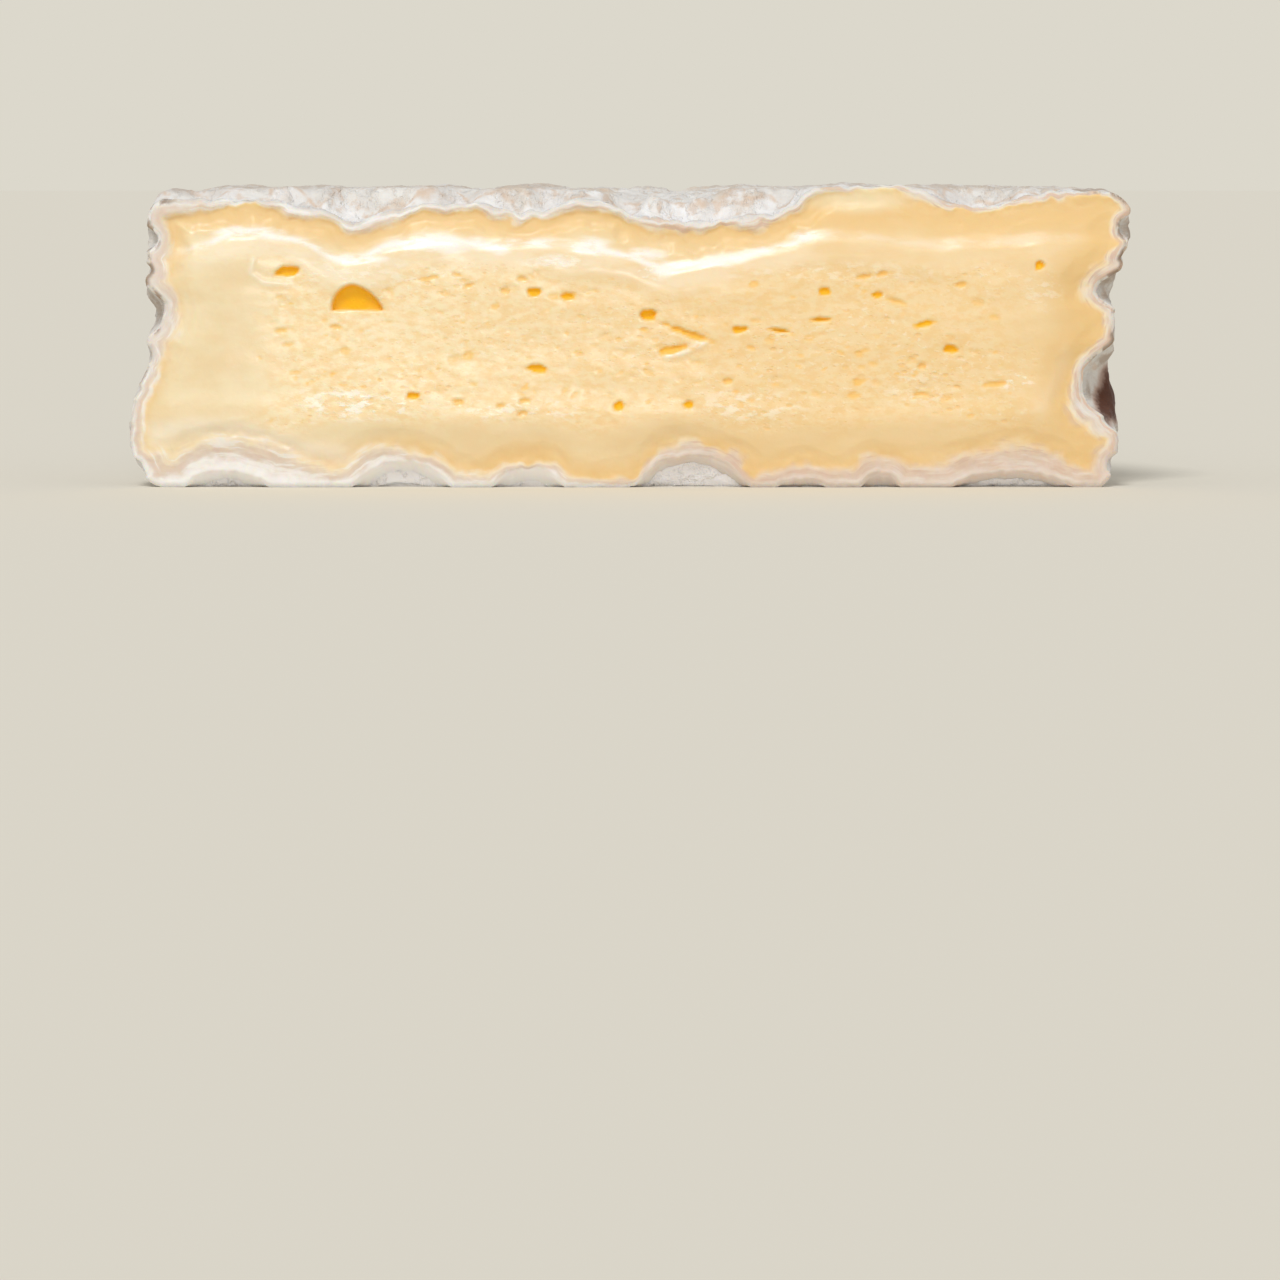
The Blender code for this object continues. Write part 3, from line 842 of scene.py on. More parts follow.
def plain_cut(settings):
    """A small square grid facing forward, with one ring of wall behind it for each wall ring.

    Its sides run from -1 to 1 and its rings lie at 1, 2 and so on, which shape_cut turns into places.
    """
    deselect_all()
    bpy.ops.mesh.primitive_grid_add(
        x_subdivisions=settings.columns,
        y_subdivisions=settings.rows,
        size=2.0 * MM,
        rotation=(math.pi / 2.0, 0.0, 0.0),
    )
    piece = bpy.context.object
    piece.name = "cut_face"
    bpy.ops.object.transform_apply(location=True, rotation=True, scale=True)
    bpy.ops.object.mode_set(mode="EDIT")
    bpy.ops.mesh.select_mode(type="EDGE")
    bpy.ops.mesh.select_all(action="DESELECT")
    bpy.ops.mesh.select_non_manifold()
    for _ in WALL_RINGS:
        bpy.ops.mesh.extrude_edges_move(TRANSFORM_OT_translate={"value": (0.0, MM, 0.0)})
    bpy.ops.mesh.edge_face_add()
    bpy.ops.object.mode_set(mode="OBJECT")
    return piece


def open_hollows(x, z, pores):
    """All the eyes and pores of the cut."""
    hollows = Hollows(x, z)
    for eyes, hole_glow in ((EYES, 1.0), (FAINT_EYES, FAINT_GLOW), (FOLDED_EYE, FOLDED_GLOW)):
        for eye in eyes:
            hollows.add_eye(*eye, hole_glow)
    hollows.add_dome(*DOMED_EYE)
    hollows.add_pores(pores)
    return hollows


def shape_cut(piece, pores, shift):
    """Gives the cut its outline, its relief and the values that its material reads."""
    across, ring, up = read_points(piece)
    ring = np.round(ring).astype(int)
    back, inset = np.array(((0.0, 0.0), *WALL_RINGS))[ring].T
    plain_x, plain_z = round_corner(RADIUS * across, HEIGHT / 2.0 * (1.0 + up))
    plain_x *= 1.0 - inset / RADIUS
    plain_z = HEIGHT / 2.0 + (plain_z - HEIGHT / 2.0) * (1.0 - 2.0 * inset / HEIGHT)
    x, y, z = shaped(plain_x, back, plain_z)
    front = ring == 0
    edge = front & np.isclose(np.maximum(np.abs(across), np.abs(up)), 1.0)
    from_edge = edge_distance(x, z, outline_finder(x[edge], z[edge]))
    thickness = rind_thickness(x, z)
    relief = paste_relief(plain_x, plain_z, x, z, from_edge, thickness)
    hollows = open_hollows(x, z, pores)
    y = np.where(front, y - relief + hollows.depth, y)
    write_points(piece, (x, y, z), shift)
    values = {
        "layer": np.where(front, from_edge / thickness, 0.0),
        "from_edge": from_edge,
        "near_rind": groove_distance(x, z, from_edge),
        # Low on the cut: painted light on the section's down-facing lip, and pinker layers at the right
        "low": climb(z, LIT_BELOW),
        "stain": climb(np.abs(x), STAINED_ENDS) * climb(z, STAINED_ABOVE),
        "warm": climb(x, WARM_RIGHT),
        "pale": bowl(spot_reach(x, z, PALE_SHELF)),
        "centre": centre_share(x, z),
        # Pale crumbs and painted highlight specks
        "crumbs_and_glints": crumb_and_glint_share(x, z),
        # The moist shoulder's painted highlight, which the material lays on in patches
        "shoulder": moist_highlight_share(x, z),
        # The painted highlight on the folds' crests
        "fold_highlight": fold_share(x, z) / FOLD_HIGHLIGHT_FULL,
        # The painted glow of light filtered through the paste, inside the holes
        "hole_glow": np.where(front, hollows.hole_glow, 0.0),
    }
    keep_values(piece, values)


def plain_wheel(face_size):
    """A closed half wheel of even small faces, standing out in front of the cut for now."""
    deselect_all()
    bpy.ops.mesh.primitive_cylinder_add(
        vertices=WHEEL_SIDES,
        radius=RADIUS * MM,
        depth=HEIGHT * MM,
        location=(0.0, 0.0, HEIGHT / 2.0 * MM),
    )
    piece = bpy.context.object
    piece.name = "mould_rind"
    bpy.ops.object.transform_apply(location=True, rotation=True, scale=True)
    rim = piece.modifiers.new("rim", "BEVEL")
    rim.limit_method = "ANGLE"
    rim.width = RIM_ROUNDING * MM
    rim.segments = RIM_STEPS
    apply_modifiers(piece)
    bpy.ops.object.mode_set(mode="EDIT")
    bpy.ops.mesh.select_all(action="SELECT")
    bpy.ops.mesh.bisect(
        plane_co=(0.0, -FRONT_SPARE * MM, 0.0),
        plane_no=(0.0, 1.0, 0.0),
        use_fill=True,
        clear_inner=True,
    )
    bpy.ops.object.mode_set(mode="OBJECT")
    remesh = piece.modifiers.new("even_faces", "REMESH")
    remesh.mode = "VOXEL"
    remesh.voxel_size = face_size
    apply_modifiers(piece)
    return piece


def keep_rind_values(piece, plain, real):
    """Keeps what the rind's material reads: where it is worn, smooth, hidden or dark, with painted light
    in the hidden hollows under the cut and painted shade in the pocket.
    """
    plain_x, plain_y, plain_z = plain
    x, y, z = real
    along = RADIUS * np.arctan2(plain_y, plain_x)
    on_wall = climb(np.hypot(plain_x, plain_y) - RADIUS, WALL_BEGINS)
    at_top = climb(plain_z - HEIGHT, TOP_BEGINS)
    wall_ridge = wall_wrinkle(along, plain_z) / WALL_WRINKLE_DEPTH
    top_ridge = rack_mark(plain_x, plain_y, TOP_MARK_PLACE)

    long_across, long_back, place = TOP_NOISE
    uneven = noise_at(plain_x / long_across, plain_y / long_back, place)
    pool = sunk(TOP_HOLLOWS, plain_x, plain_y) / POOL_DEPTH * (POOL_LEVEL + POOL_WAVER * uneven)
    front_pool = climb(plain_y - FRONT_POOL_WANDER * uneven, FRONT_POOL_BEHIND)
    pool = np.maximum(pool, FRONT_POOL * front_pool)

    long_back, long_up, place = END_NOISE
    wander = noise_at(plain_y / long_back, plain_z / long_up, place)
    pocket = spot_reach(x, z, SHADED_POCKET) + POCKET_WAVER * wander * ease(y / POCKET_EDGE_KEPT)
    pocket = bowl(np.maximum(0.0, pocket))
    at_right = climb(plain_x - RADIUS, ENDS_BEGIN)
    at_left = LEFT_END_SHARE * climb(-plain_x - RADIUS, ENDS_BEGIN)
    ends = np.maximum(at_right, at_left) * climb(plain_y, ENDS_FRONT) * climb(plain_z, ENDS_ABOVE)
    values = {
        "along": along,
        "level": plain_z,
        "wall": on_wall,
        "ridge": 0.5 + RIDGE_GAIN * (top_ridge + on_wall * (wall_ridge - top_ridge)),
        "crest": 0.5 + crinkle(*plain) / CREST_HEIGHT,
        "pool": pool * at_top,
        "bare": climb(z - PRESSED_LEVEL, BARE_BEGINS) * at_top,
        # Painted light in the shaded hollows under the cut
        "under": climb(plain_z, LIT_UNDER_BEGINS) * climb(plain_y, NEAR_CUT),
        # The pocket's brown rind and painted shade
        "pocket": pocket * climb(y - POCKET_WANDER * wander, POCKET_BEHIND),
        "ends": ends * climb(plain_y - ENDS_WANDER * wander, ENDS_BEHIND),
    }
    keep_values(piece, values)


def shape_rind(piece, shift):
    """Wrinkles the plain half wheel into the real one and trims it just behind the cut's lip."""
    plain = read_points(piece)
    x, y, z = plain
    tucked = TUCK_DEPTH * ease((TUCK_REACH - y) / TUCK_REACH)
    tucked_z = HEIGHT / 2.0 + (z - HEIGHT / 2.0) * (1.0 - 2.0 * tucked / HEIGHT)
    real = shaped(x * (1.0 - tucked / RADIUS), y, tucked_z)
    write_points(piece, real, shift)
    keep_rind_values(piece, plain, real)
    bpy.ops.object.mode_set(mode="EDIT")
    bpy.ops.mesh.select_all(action="SELECT")
    bpy.ops.mesh.bisect(
        plane_co=(0.0, (shift[1] + RIND_STARTS) * MM, 0.0),
        plane_no=(0.0, 1.0, 0.0),
        use_fill=True,
        clear_inner=True,
    )
    # The cap is now all that is selected, and is pushed in to make room for the cut face
    bpy.ops.mesh.extrude_region_move(TRANSFORM_OT_translate={"value": (0.0, CAP_DEPTH * MM, 0.0)})
    middle = shift * MM + (0.0, 0.0, HEIGHT / 2.0 * MM)
    bpy.ops.transform.resize(value=CAP_SHRINK, center_override=middle.tolist())
    bpy.ops.object.mode_set(mode="OBJECT")


class Shader:
    """A material's node tree, with short ways to add and join its nodes."""

    def __init__(self, tree):
        self.tree = tree

    def add(self, kind, **values):
        node = self.tree.nodes.new(kind)
        for name, value in values.items():
            setattr(node, name, value)
        return node

    def join(self, value, socket):
        """Feeds a socket from another node's output, or sets it to a plain value."""
        if isinstance(value, bpy.types.NodeSocket):
            self.tree.links.new(value, socket)
        else:
            socket.default_value = value

    def attribute(self, name):
        return self.add("ShaderNodeAttribute", attribute_name=name).outputs["Fac"]

    def place(self, stretch=(1.0, 1.0, 1.0)):
        """Object coordinates in millimetres, stretched."""
        coordinates = self.add("ShaderNodeTexCoord")
        mapping = self.add("ShaderNodeMapping")
        mapping.inputs["Scale"].default_value = [share / MM for share in stretch]
        self.join(coordinates.outputs["Object"], mapping.inputs["Vector"])
        return mapping.outputs["Vector"]

    def noise(self, place, wavelength, detail=2.0, roughness=0.5):
        """Noise about 0.5, its lumps this long in millimetres."""
        node = self.add("ShaderNodeTexNoise")
        self.join(place, node.inputs["Vector"])
        node.inputs["Scale"].default_value = 1.0 / wavelength
        node.inputs["Detail"].default_value = detail
        node.inputs["Roughness"].default_value = roughness
        return node.outputs["Fac"]

    def pits(self, place, spacing):
        """A mask of round pits about this far apart, each of its own size."""
        node = self.add("ShaderNodeTexVoronoi", feature="F1")
        self.join(place, node.inputs["Vector"])
        node.inputs["Scale"].default_value = 1.0 / spacing
        radius = self.times(node.outputs["Color"], PIT_RADIUS)
        past_edge = self.maths("SUBTRACT", node.outputs["Distance"], radius)
        return self.span(past_edge, *PIT_EDGE, 1.0, 0.0)

    def along_edge(self, from_edge, stretch):
        """Places along the cut's outline, so that noise on them lies in layers under the rind."""
        coordinates = self.add("ShaderNodeTexCoord")
        split = self.add("ShaderNodeSeparateXYZ")
        self.join(coordinates.outputs["Object"], split.inputs["Vector"])
        across, up = (self.maths("DIVIDE", split.outputs[axis], stretch * MM) for axis in "XZ")
        return self.vector(from_edge, across, up)

    def vector(self, x, y, z):
        node = self.add("ShaderNodeCombineXYZ")
        for value, name in zip((x, y, z), "XYZ"):
            self.join(value, node.inputs[name])
        return node.outputs["Vector"]

    def ramp(self, value, stops):
        """Screen colours along a value: (place from 0 to 1, colour)."""
        node = self.add("ShaderNodeValToRGB")
        marks = node.color_ramp.elements
        while len(marks) < len(stops):
            marks.new(1.0)
        for mark, (place, colour) in zip(marks, stops):
            mark.position = place
            mark.color = (*linear(colour), 1.0)
        self.join(value, node.inputs["Fac"])
        return node.outputs["Color"]

    def span(self, value, low, high, to_low=0.0, to_high=1.0):
        """A value that goes smoothly from one number to another as this one goes from low to high."""
        node = self.add("ShaderNodeMapRange", interpolation_type="SMOOTHSTEP")
        self.join(value, node.inputs["Value"])
        sockets = ("From Min", "From Max", "To Min", "To Max")
        for name, number in zip(sockets, (low, high, to_low, to_high)):
            self.join(number, node.inputs[name])
        return node.outputs["Result"]

    def mix(self, share, first, second):
        """Mixes two colours, each a socket or a screen colour."""
        node = self.add("ShaderNodeMix", data_type="RGBA")
        self.join(share, node.inputs["Factor"])
        for value, name in ((first, "A"), (second, "B")):
            socket = [s for s in node.inputs if s.name == name and s.type == "RGBA"][0]
            is_socket = isinstance(value, bpy.types.NodeSocket)
            self.join(value if is_socket else (*linear(value), 1.0), socket)
        return [s for s in node.outputs if s.type == "RGBA"][0]

    def paint(self, colour, *coats):
        """Lays coats over a colour, one after another: (share, strength, the coat's colour)."""
        for share, strength, coat in coats:
            colour = self.mix(self.times(share, strength), colour, coat)
        return colour

    def maths(self, operation, first, second=0.0):
        node = self.add("ShaderNodeMath", operation=operation)
        self.join(first, node.inputs[0])
        self.join(second, node.inputs[1])
        return node.outputs[0]

    def times(self, first, *factors):
        """The product of some values."""
        for factor in factors:
            first = self.maths("MULTIPLY", first, factor)
        return first

    def most(self, first, second):
        """The larger of two values."""
        return self.maths("MAXIMUM", first, second)

    def bump(self, height, distance, strength=1.0, normal=None):
        """A normal for a surface that rises this far, in millimetres, where the height is 1."""
        node = self.add("ShaderNodeBump")
        node.inputs["Strength"].default_value = strength
        node.inputs["Distance"].default_value = distance * MM
        self.join(height, node.inputs["Height"])
        if normal is not None:
            self.join(normal, node.inputs["Normal"])
        return node.outputs["Normal"]


def linear(colour):
    """A screen colour, from 0 to 255, as the light values that a shader takes."""
    shares = [channel / 255.0 for channel in colour]
    return tuple(s / 12.92 if s <= 0.04045 else ((s + 0.055) / 1.055) ** 2.4 for s in shares)


def new_material(name, finish):
    """A material whose surface has these sockets the same all over."""
    material = bpy.data.materials.new(name)
    material.use_nodes = True
    surface = material.node_tree.nodes["Principled BSDF"]
    for socket, value in finish.items():
        surface.inputs[socket].default_value = value
    return material, Shader(material.node_tree), surface


def mottle_group():
    """Soft patches, shared by the paste and the rind: a mask from 0 to 1 out of layered noise."""
    name = "Mottle"
    if name in bpy.data.node_groups:
        return bpy.data.node_groups[name]
    group = bpy.data.node_groups.new(name, "ShaderNodeTree")
    face = group.interface
    face.new_socket("Vector", in_out="INPUT", socket_type="NodeSocketVector")
    for name_in, default in (("Size", 4.0), ("Low", 0.4), ("High", 0.6)):
        socket = face.new_socket(name_in, in_out="INPUT", socket_type="NodeSocketFloat")
        socket.default_value = default
    face.new_socket("Mask", in_out="OUTPUT", socket_type="NodeSocketFloat")
    shader = Shader(group)
    given = shader.add("NodeGroupInput")
    out = shader.add("NodeGroupOutput")
    scale = shader.maths("DIVIDE", 1.0, given.outputs["Size"])
    patches = shader.add("ShaderNodeTexNoise")
    patches.inputs["Detail"].default_value = 5.0
    patches.inputs["Roughness"].default_value = 0.6
    shader.join(given.outputs["Vector"], patches.inputs["Vector"])
    shader.join(scale, patches.inputs["Scale"])
    mask = shader.span(patches.outputs["Fac"], given.outputs["Low"], given.outputs["High"])
    shader.join(mask, out.inputs["Mask"])
    return group


def mottle(shader, place, size, low, high):
    """Soft patches of this size: 0 where their noise is low and 1 where it is high."""
    node = shader.add("ShaderNodeGroup", node_tree=mottle_group())
    shader.join(place, node.inputs["Vector"])
    node.inputs["Size"].default_value = size
    node.inputs["Low"].default_value = low
    node.inputs["High"].default_value = high
    return node.outputs["Mask"]


def paste_grain(shader, centre):
    """The pits and the pale crumbs of the paste, with painted highlight flecks among the crumbs, as two
    masks.
    """
    flat_place = shader.place((0.75, 1.0, 1.35))
    crowd = mottle(shader, shader.place((0.6, 1.0, 1.0)), 5.0, 0.30, 0.62)
    crowd = shader.times(centre, crowd)
    small_pits = shader.times(shader.pits(flat_place, 0.7), 0.5)
    pits = shader.times(shader.most(shader.pits(flat_place, 1.5), small_pits), crowd)
    crumbs_and_glints = shader.noise(shader.place((0.75, 1.0, 1.5)), 1.25, detail=4.0, roughness=0.62)
    crumbs_and_glints = shader.times(shader.span(crumbs_and_glints, 0.48, 0.62), shader.attribute("crumbs_and_glints"))
    # Bright flecks in the centre: painted highlight specks
    glint_flecks = shader.noise(shader.place((0.8, 1.0, 1.3)), 0.6, detail=3.0)
    glint_flecks = shader.times(shader.span(glint_flecks, 0.56, 0.70), 0.34, crowd)
    return pits, shader.most(crumbs_and_glints, glint_flecks)


def paste_colour(shader, settings, centre, hole_glow, pits, crumbs_and_glints):
    """The ripe paste and its porous centre, with all that lies on them."""
    patches = mottle(shader, shader.place((1.0, 1.0, 1.6)), 6.0, 0.35, 0.65)
    ripe = shader.mix(patches, settings.ripe_colour_low, settings.ripe_colour)
    speckle = mottle(shader, shader.place((1.0, 1.0, 1.8)), 1.3, 0.36, 0.64)
    porous = shader.mix(speckle, settings.centre_colour_low, settings.centre_colour)
    near_rind = shader.span(shader.attribute("near_rind"), 1.4, 4.6, 1.0, 0.0)
    # How patchy the shoulder's painted highlight is
    sheen = mottle(shader, shader.place((0.5, 1.0, 1.6)), 2.2, 0.34, 0.56)
    sheen = shader.span(sheen, 0.0, 1.0, 0.25, 0.88)
    return shader.paint(
        shader.mix(centre, ripe, porous),
        (shader.attribute("warm"), 0.46, settings.groove_colour),
        (near_rind, 0.8, settings.groove_colour),
        (shader.attribute("pale"), 0.8, settings.ripe_colour),
        # A painted highlight along the moist shoulder, in patches
        (shader.attribute("shoulder"), sheen, settings.shoulder_highlight_colour),
        # A painted highlight on the crests of the folds
        (shader.attribute("fold_highlight"), 0.6, settings.shoulder_highlight_colour),
        # Painted orange shade inside the pits
        (pits, 0.45, settings.pit_shade_colour),
        # Pale crumbs, with painted highlight specks among them
        (crumbs_and_glints, 1.0, settings.crumb_and_glint_colour),
        # The painted glow of light filtered through the paste, inside the holes
        (hole_glow, 1.0, settings.eye_glow_colour),
    )


def section_colour(shader, settings, depth, from_edge, warm):
    """The rind's section, pinker to the right and whiter to the left, and painted lighter at the bottom as
    painted light on its down-facing lip.
    """
    layers = shader.noise(shader.along_edge(from_edge, 7.0), 0.55, detail=3.0)
    low = shader.attribute("low")
    to_right = shader.span(warm, 0.4, 1.0)
    pink = shader.times(shader.span(layers, 0.50, 0.62), shader.span(to_right, 0.0, 1.0, 0.3, 0.95))
    pink = shader.most(pink, shader.times(to_right, low, 0.6))
    white = shader.span(layers, 0.48, 0.36)
    # Painted light on the down-facing lip at the bottom
    skin = shader.times(low, shader.span(depth, 0.15, 0.5, 0.85, 0.0))
    stain = mottle(shader, shader.place((1.0, 1.0, 0.6)), 1.6, 0.44, 0.58)
    stain = shader.times(stain, shader.attribute("stain"))
    return shader.paint(
        shader.ramp(shader.times(depth, 0.8), SECTION_COLOURS),
        (pink, 1.0, settings.layer_pink),
        (white, shader.span(to_right, 0.0, 1.0, 0.7, 0.25), settings.layer_white),
        (skin, shader.span(to_right, 0.0, 1.0, 1.0, 0.3), settings.low_edge_light_colour),
        (stain, shader.span(from_edge, 0.15, 0.65, 0.9, 0.0), settings.stain_colour),
    )


def paste_material(settings):
    """Moist ripe paste with the rind's section round it, coloured by the depth under the rind."""
    finish = {
        "Coat Roughness": 0.2,
        "Coat IOR": 1.5,
        "IOR": 1.42,
        "Subsurface Weight": 0.35,
        "Subsurface Radius": (1.0, 0.6, 0.3),
        "Subsurface Scale": 2.0 * MM,
    }
    material, shader, surface = new_material("ripe paste", finish)
    place = shader.place()
    from_edge = shader.attribute("from_edge")
    hole_glow = shader.attribute("hole_glow")
    centre = shader.attribute("centre")
    warm = shader.attribute("warm")
    fray = shader.maths("SUBTRACT", shader.noise(place, 0.9, detail=4.0), 0.5)
    depth = shader.maths("ADD", shader.attribute("layer"), shader.times(fray, 0.35))
    pits, crumbs_and_glints = paste_grain(shader, centre)
    paste = paste_colour(shader, settings, centre, hole_glow, pits, crumbs_and_glints)
    section = section_colour(shader, settings, depth, from_edge, warm)
    colour = shader.mix(shader.span(depth, 0.70, 1.30), section, paste)
    shader.join(colour, surface.inputs["Base Color"])

    moist = shader.noise(shader.place((1.0, 1.0, 2.0)), 2.4, detail=3.0)
    gloss = shader.span(moist, 0.35, 0.65, 0.34, 0.52)
    gloss = shader.maths("ADD", gloss, shader.times(centre, 0.12))
    dry = shader.span(depth, 0.8, 1.3, 0.8, 0.0)
    shader.join(shader.most(gloss, dry), surface.inputs["Roughness"])
    coat = shader.times(
        shader.span(from_edge, 2.8, 4.4),
        shader.span(warm, 0.75, 1.0, 0.45, 0.05),
        shader.span(hole_glow, 0.1, 0.6, 1.0, 0.0),
    )
    shader.join(coat, surface.inputs["Coat Weight"])

    pitted = shader.bump(shader.maths("SUBTRACT", 1.0, pits), 0.06)
    raised = shader.bump(crumbs_and_glints, 0.05, normal=pitted)
    fine = shader.noise(place, 0.9, detail=3.0)
    shader.join(shader.bump(fine, 0.03, normal=raised), surface.inputs["Normal"])
    return material


def rind_material(settings):
    """Velvety white mould in the folds, worn to the beige rind on crests and brown in streaks, with
    painted light under the cut and painted shade in the brown pocket.
    """
    finish = {
        "Roughness": 0.85,
        "Sheen Weight": 0.08,
        "Sheen Roughness": 0.5,
        "Subsurface Weight": 0.15,
        "Subsurface Radius": (1.0, 0.8, 0.6),
        "Subsurface Scale": 0.8 * MM,
    }
    material, shader, surface = new_material("mould rind", finish)
    place = shader.place()
    wall = shader.attribute("wall")
    along = shader.maths("DIVIDE", shader.attribute("along"), 5.0)
    round_wall = shader.vector(along, 0.0, shader.attribute("level"))

    bloom = shader.times(mottle(shader, place, 5.0, 0.34, 0.62), 0.6)
    fine_bloom = mottle(shader, place, 1.7, 0.38, 0.60)
    bloom = shader.maths("ADD", bloom, shader.times(fine_bloom, 0.4))
    broken = mottle(shader, shader.place((1.0, 1.0, 0.6)), 2.4, 0.38, 0.58)
    stained = mottle(shader, shader.place((1.0, 0.5, 1.0)), 2.0, 0.54, 0.66)

    on_wall = mottle(shader, round_wall, 2.3, 0.50, 0.66)
    on_top = mottle(shader, shader.place((1.0, 0.3, 1.0)), 2.4, 0.46, 0.60)
    more_on_wall = shader.times(wall, shader.maths("SUBTRACT", on_wall, on_top))
    streaks = shader.maths("ADD", on_top, more_on_wall)
    worn = shader.times(streaks, shader.span(shader.attribute("ridge"), 0.38, 0.72, 0.12, 1.0))
    dark_streaks = shader.times(mottle(shader, round_wall, 0.9, 0.52, 0.64), wall)
    spots = mottle(shader, place, 0.9, 0.60, 0.68)
    spots = shader.times(spots, shader.span(shader.attribute("crest"), 0.4, 0.9))
    darkest = shader.times(shader.most(dark_streaks, spots), worn)

    pool = shader.span(shader.attribute("pool"), 0.1, 0.9)
    smooth = shader.mix(bloom, settings.pool_low, settings.pool_colour)
    past_rim = shader.maths("ABSOLUTE", shader.maths("SUBTRACT", pool, 0.45))
    rims = shader.times(shader.span(past_rim, 0.02, 0.28, 1.0, 0.0), broken)
    pocket = shader.times(shader.attribute("pocket"), shader.span(fine_bloom, 0.0, 1.0, 1.0, 0.8))
    colour = shader.paint(
        shader.mix(bloom, settings.bloom_low, settings.bloom_colour),
        (worn, 0.65, settings.beige_colour),
        (darkest, 0.6, settings.brown_colour),
        (pool, 0.8, smooth),
        (rims, 0.8, settings.rim_colour),
        (stained, 0.6, settings.rim_colour),
        (shader.attribute("bare"), shader.span(broken, 0.3, 1.0, 0.12, 0.75), settings.bare_colour),
        # Painted light in the shaded hollows under the cut
        (shader.attribute("under"), 1.0, settings.underside_light_colour),
        (shader.attribute("ends"), shader.span(broken, 0.0, 1.0, 0.15, 0.75), settings.brown_colour),
        # The pocket's brown rind with painted shade of its deep gap
        (shader.span(pocket, 0.02, 0.35), 0.8, settings.shaded_pocket_rim),
        (shader.span(pocket, 0.2, 0.7), 1.0, settings.shaded_pocket_colour),
    )
    shader.join(colour, surface.inputs["Base Color"])

    folds = shader.noise(place, 0.9, detail=4.0, roughness=0.6)
    down = shader.noise(place, 0.22, detail=2.0)
    folded = shader.bump(folds, 0.14, normal=shader.bump(streaks, 0.16))
    shader.join(shader.bump(down, 0.04, 0.8, folded), surface.inputs["Normal"])
    return material


def floor_material(colour):
    finish = {"Base Color": (*linear(colour), 1.0), "Roughness": 1.0, "Specular IOR Level": 0.0}
    return new_material("pale floor", finish)[0]


def colour_property(name, description, default):
    return FloatVectorProperty(
        name=name, description=description, default=default, min=0.0, max=255.0, size=3
    )


class PasteSettings(bpy.types.PropertyGroup):
    """Sizes and screen colours of the cut face."""

    columns: IntProperty(name="Columns", description="Faces across the cut", default=540, min=20)
    rows: IntProperty(name="Rows", description="Faces up the cut", default=160, min=10)
    pores: IntProperty(name="Pores", description="Small pores in the centre", default=260, min=0)
    ripe_colour: colour_property("Ripe", "The smooth ripe paste", (239, 221, 182))
    ripe_colour_low: colour_property("Ripe, darker", "Its darker patches", (235, 212, 168))
    centre_colour: colour_property("Centre", "The porous centre", (246, 229, 190))
    centre_colour_low: colour_property("Centre, darker", "Its darker patches", (242, 213, 160))
    groove_colour: colour_property("Groove", "The paste beside the rind", (234, 196, 132))
    # A painted highlight: the near-white of the moist shoulder where it catches the light
    shoulder_highlight_colour: colour_property("Shoulder", "The moist shoulder", (249, 246, 240))
    # Partly a painted highlight: bright specks where the paste catches the light, among pale crumbs
    crumb_and_glint_colour: colour_property("Crumbs", "Pale crumbs on the paste", (250, 243, 226))
    # Painted shade: the deeper orange inside the small pits
    pit_shade_colour: colour_property("Pits", "The inside of small pits", (241, 190, 104))
    layer_pink: colour_property("Pink layers", "Pinkish layers in the rind's section", (216, 190, 170))
    layer_white: colour_property("White layers", "White layers in the rind's section", (240, 236, 230))
    # Painted light: the section's down-facing lower lip, lighter than its shade would leave it
    low_edge_light_colour: colour_property("Under skin", "The rind's skin at the lower edge", (246, 242, 239))
    stain_colour: colour_property("Stain", "The rind's skin at the cut's ends", (150, 130, 112))
    # A painted glow: the saturated orange of light filtered through the paste inside the eyes
    eye_glow_colour: colour_property("Eyes", "The inside of the eyes", (253, 190, 6))


class RindSettings(bpy.types.PropertyGroup):
    """Sizes and screen colours of the mould rind."""

    face_size: FloatProperty(
        name="Face size", description="Width of one face", default=0.42 * MM, unit="LENGTH", precision=5
    )
    bloom_colour: colour_property("Bloom", "Thick white mould", (228, 225, 219))
    bloom_low: colour_property("Bloom, thin", "Thin white mould", (211, 206, 200))
    beige_colour: colour_property("Beige", "Bare rind on the ridges", (206, 186, 162))
    brown_colour: colour_property("Brown", "Grey-brown streaks", (164, 142, 122))
    pool_colour: colour_property("Pools", "Smooth mould in the top's hollows", (244, 243, 243))
    pool_low: colour_property("Pools, darker", "Its darker patches", (223, 218, 213))
    rim_colour: colour_property("Rims", "The rims of the top's hollows", (212, 188, 166))
    bare_colour: colour_property("Bare crests", "Crests of the top that lost their mould", (194, 178, 160))
    # Painted light: a lighter white for the shaded hollows under the cut
    underside_light_colour: colour_property("Underside", "The rind in the hollows under the cut", (243, 240, 241))
    # The pocket's brown rind and painted shade of its deep gap
    shaded_pocket_colour: colour_property("Pocket", "The dark pocket at the right end", (80, 38, 12))
    shaded_pocket_rim: colour_property("Pocket's rim", "The rind round the dark pocket", (176, 146, 130))


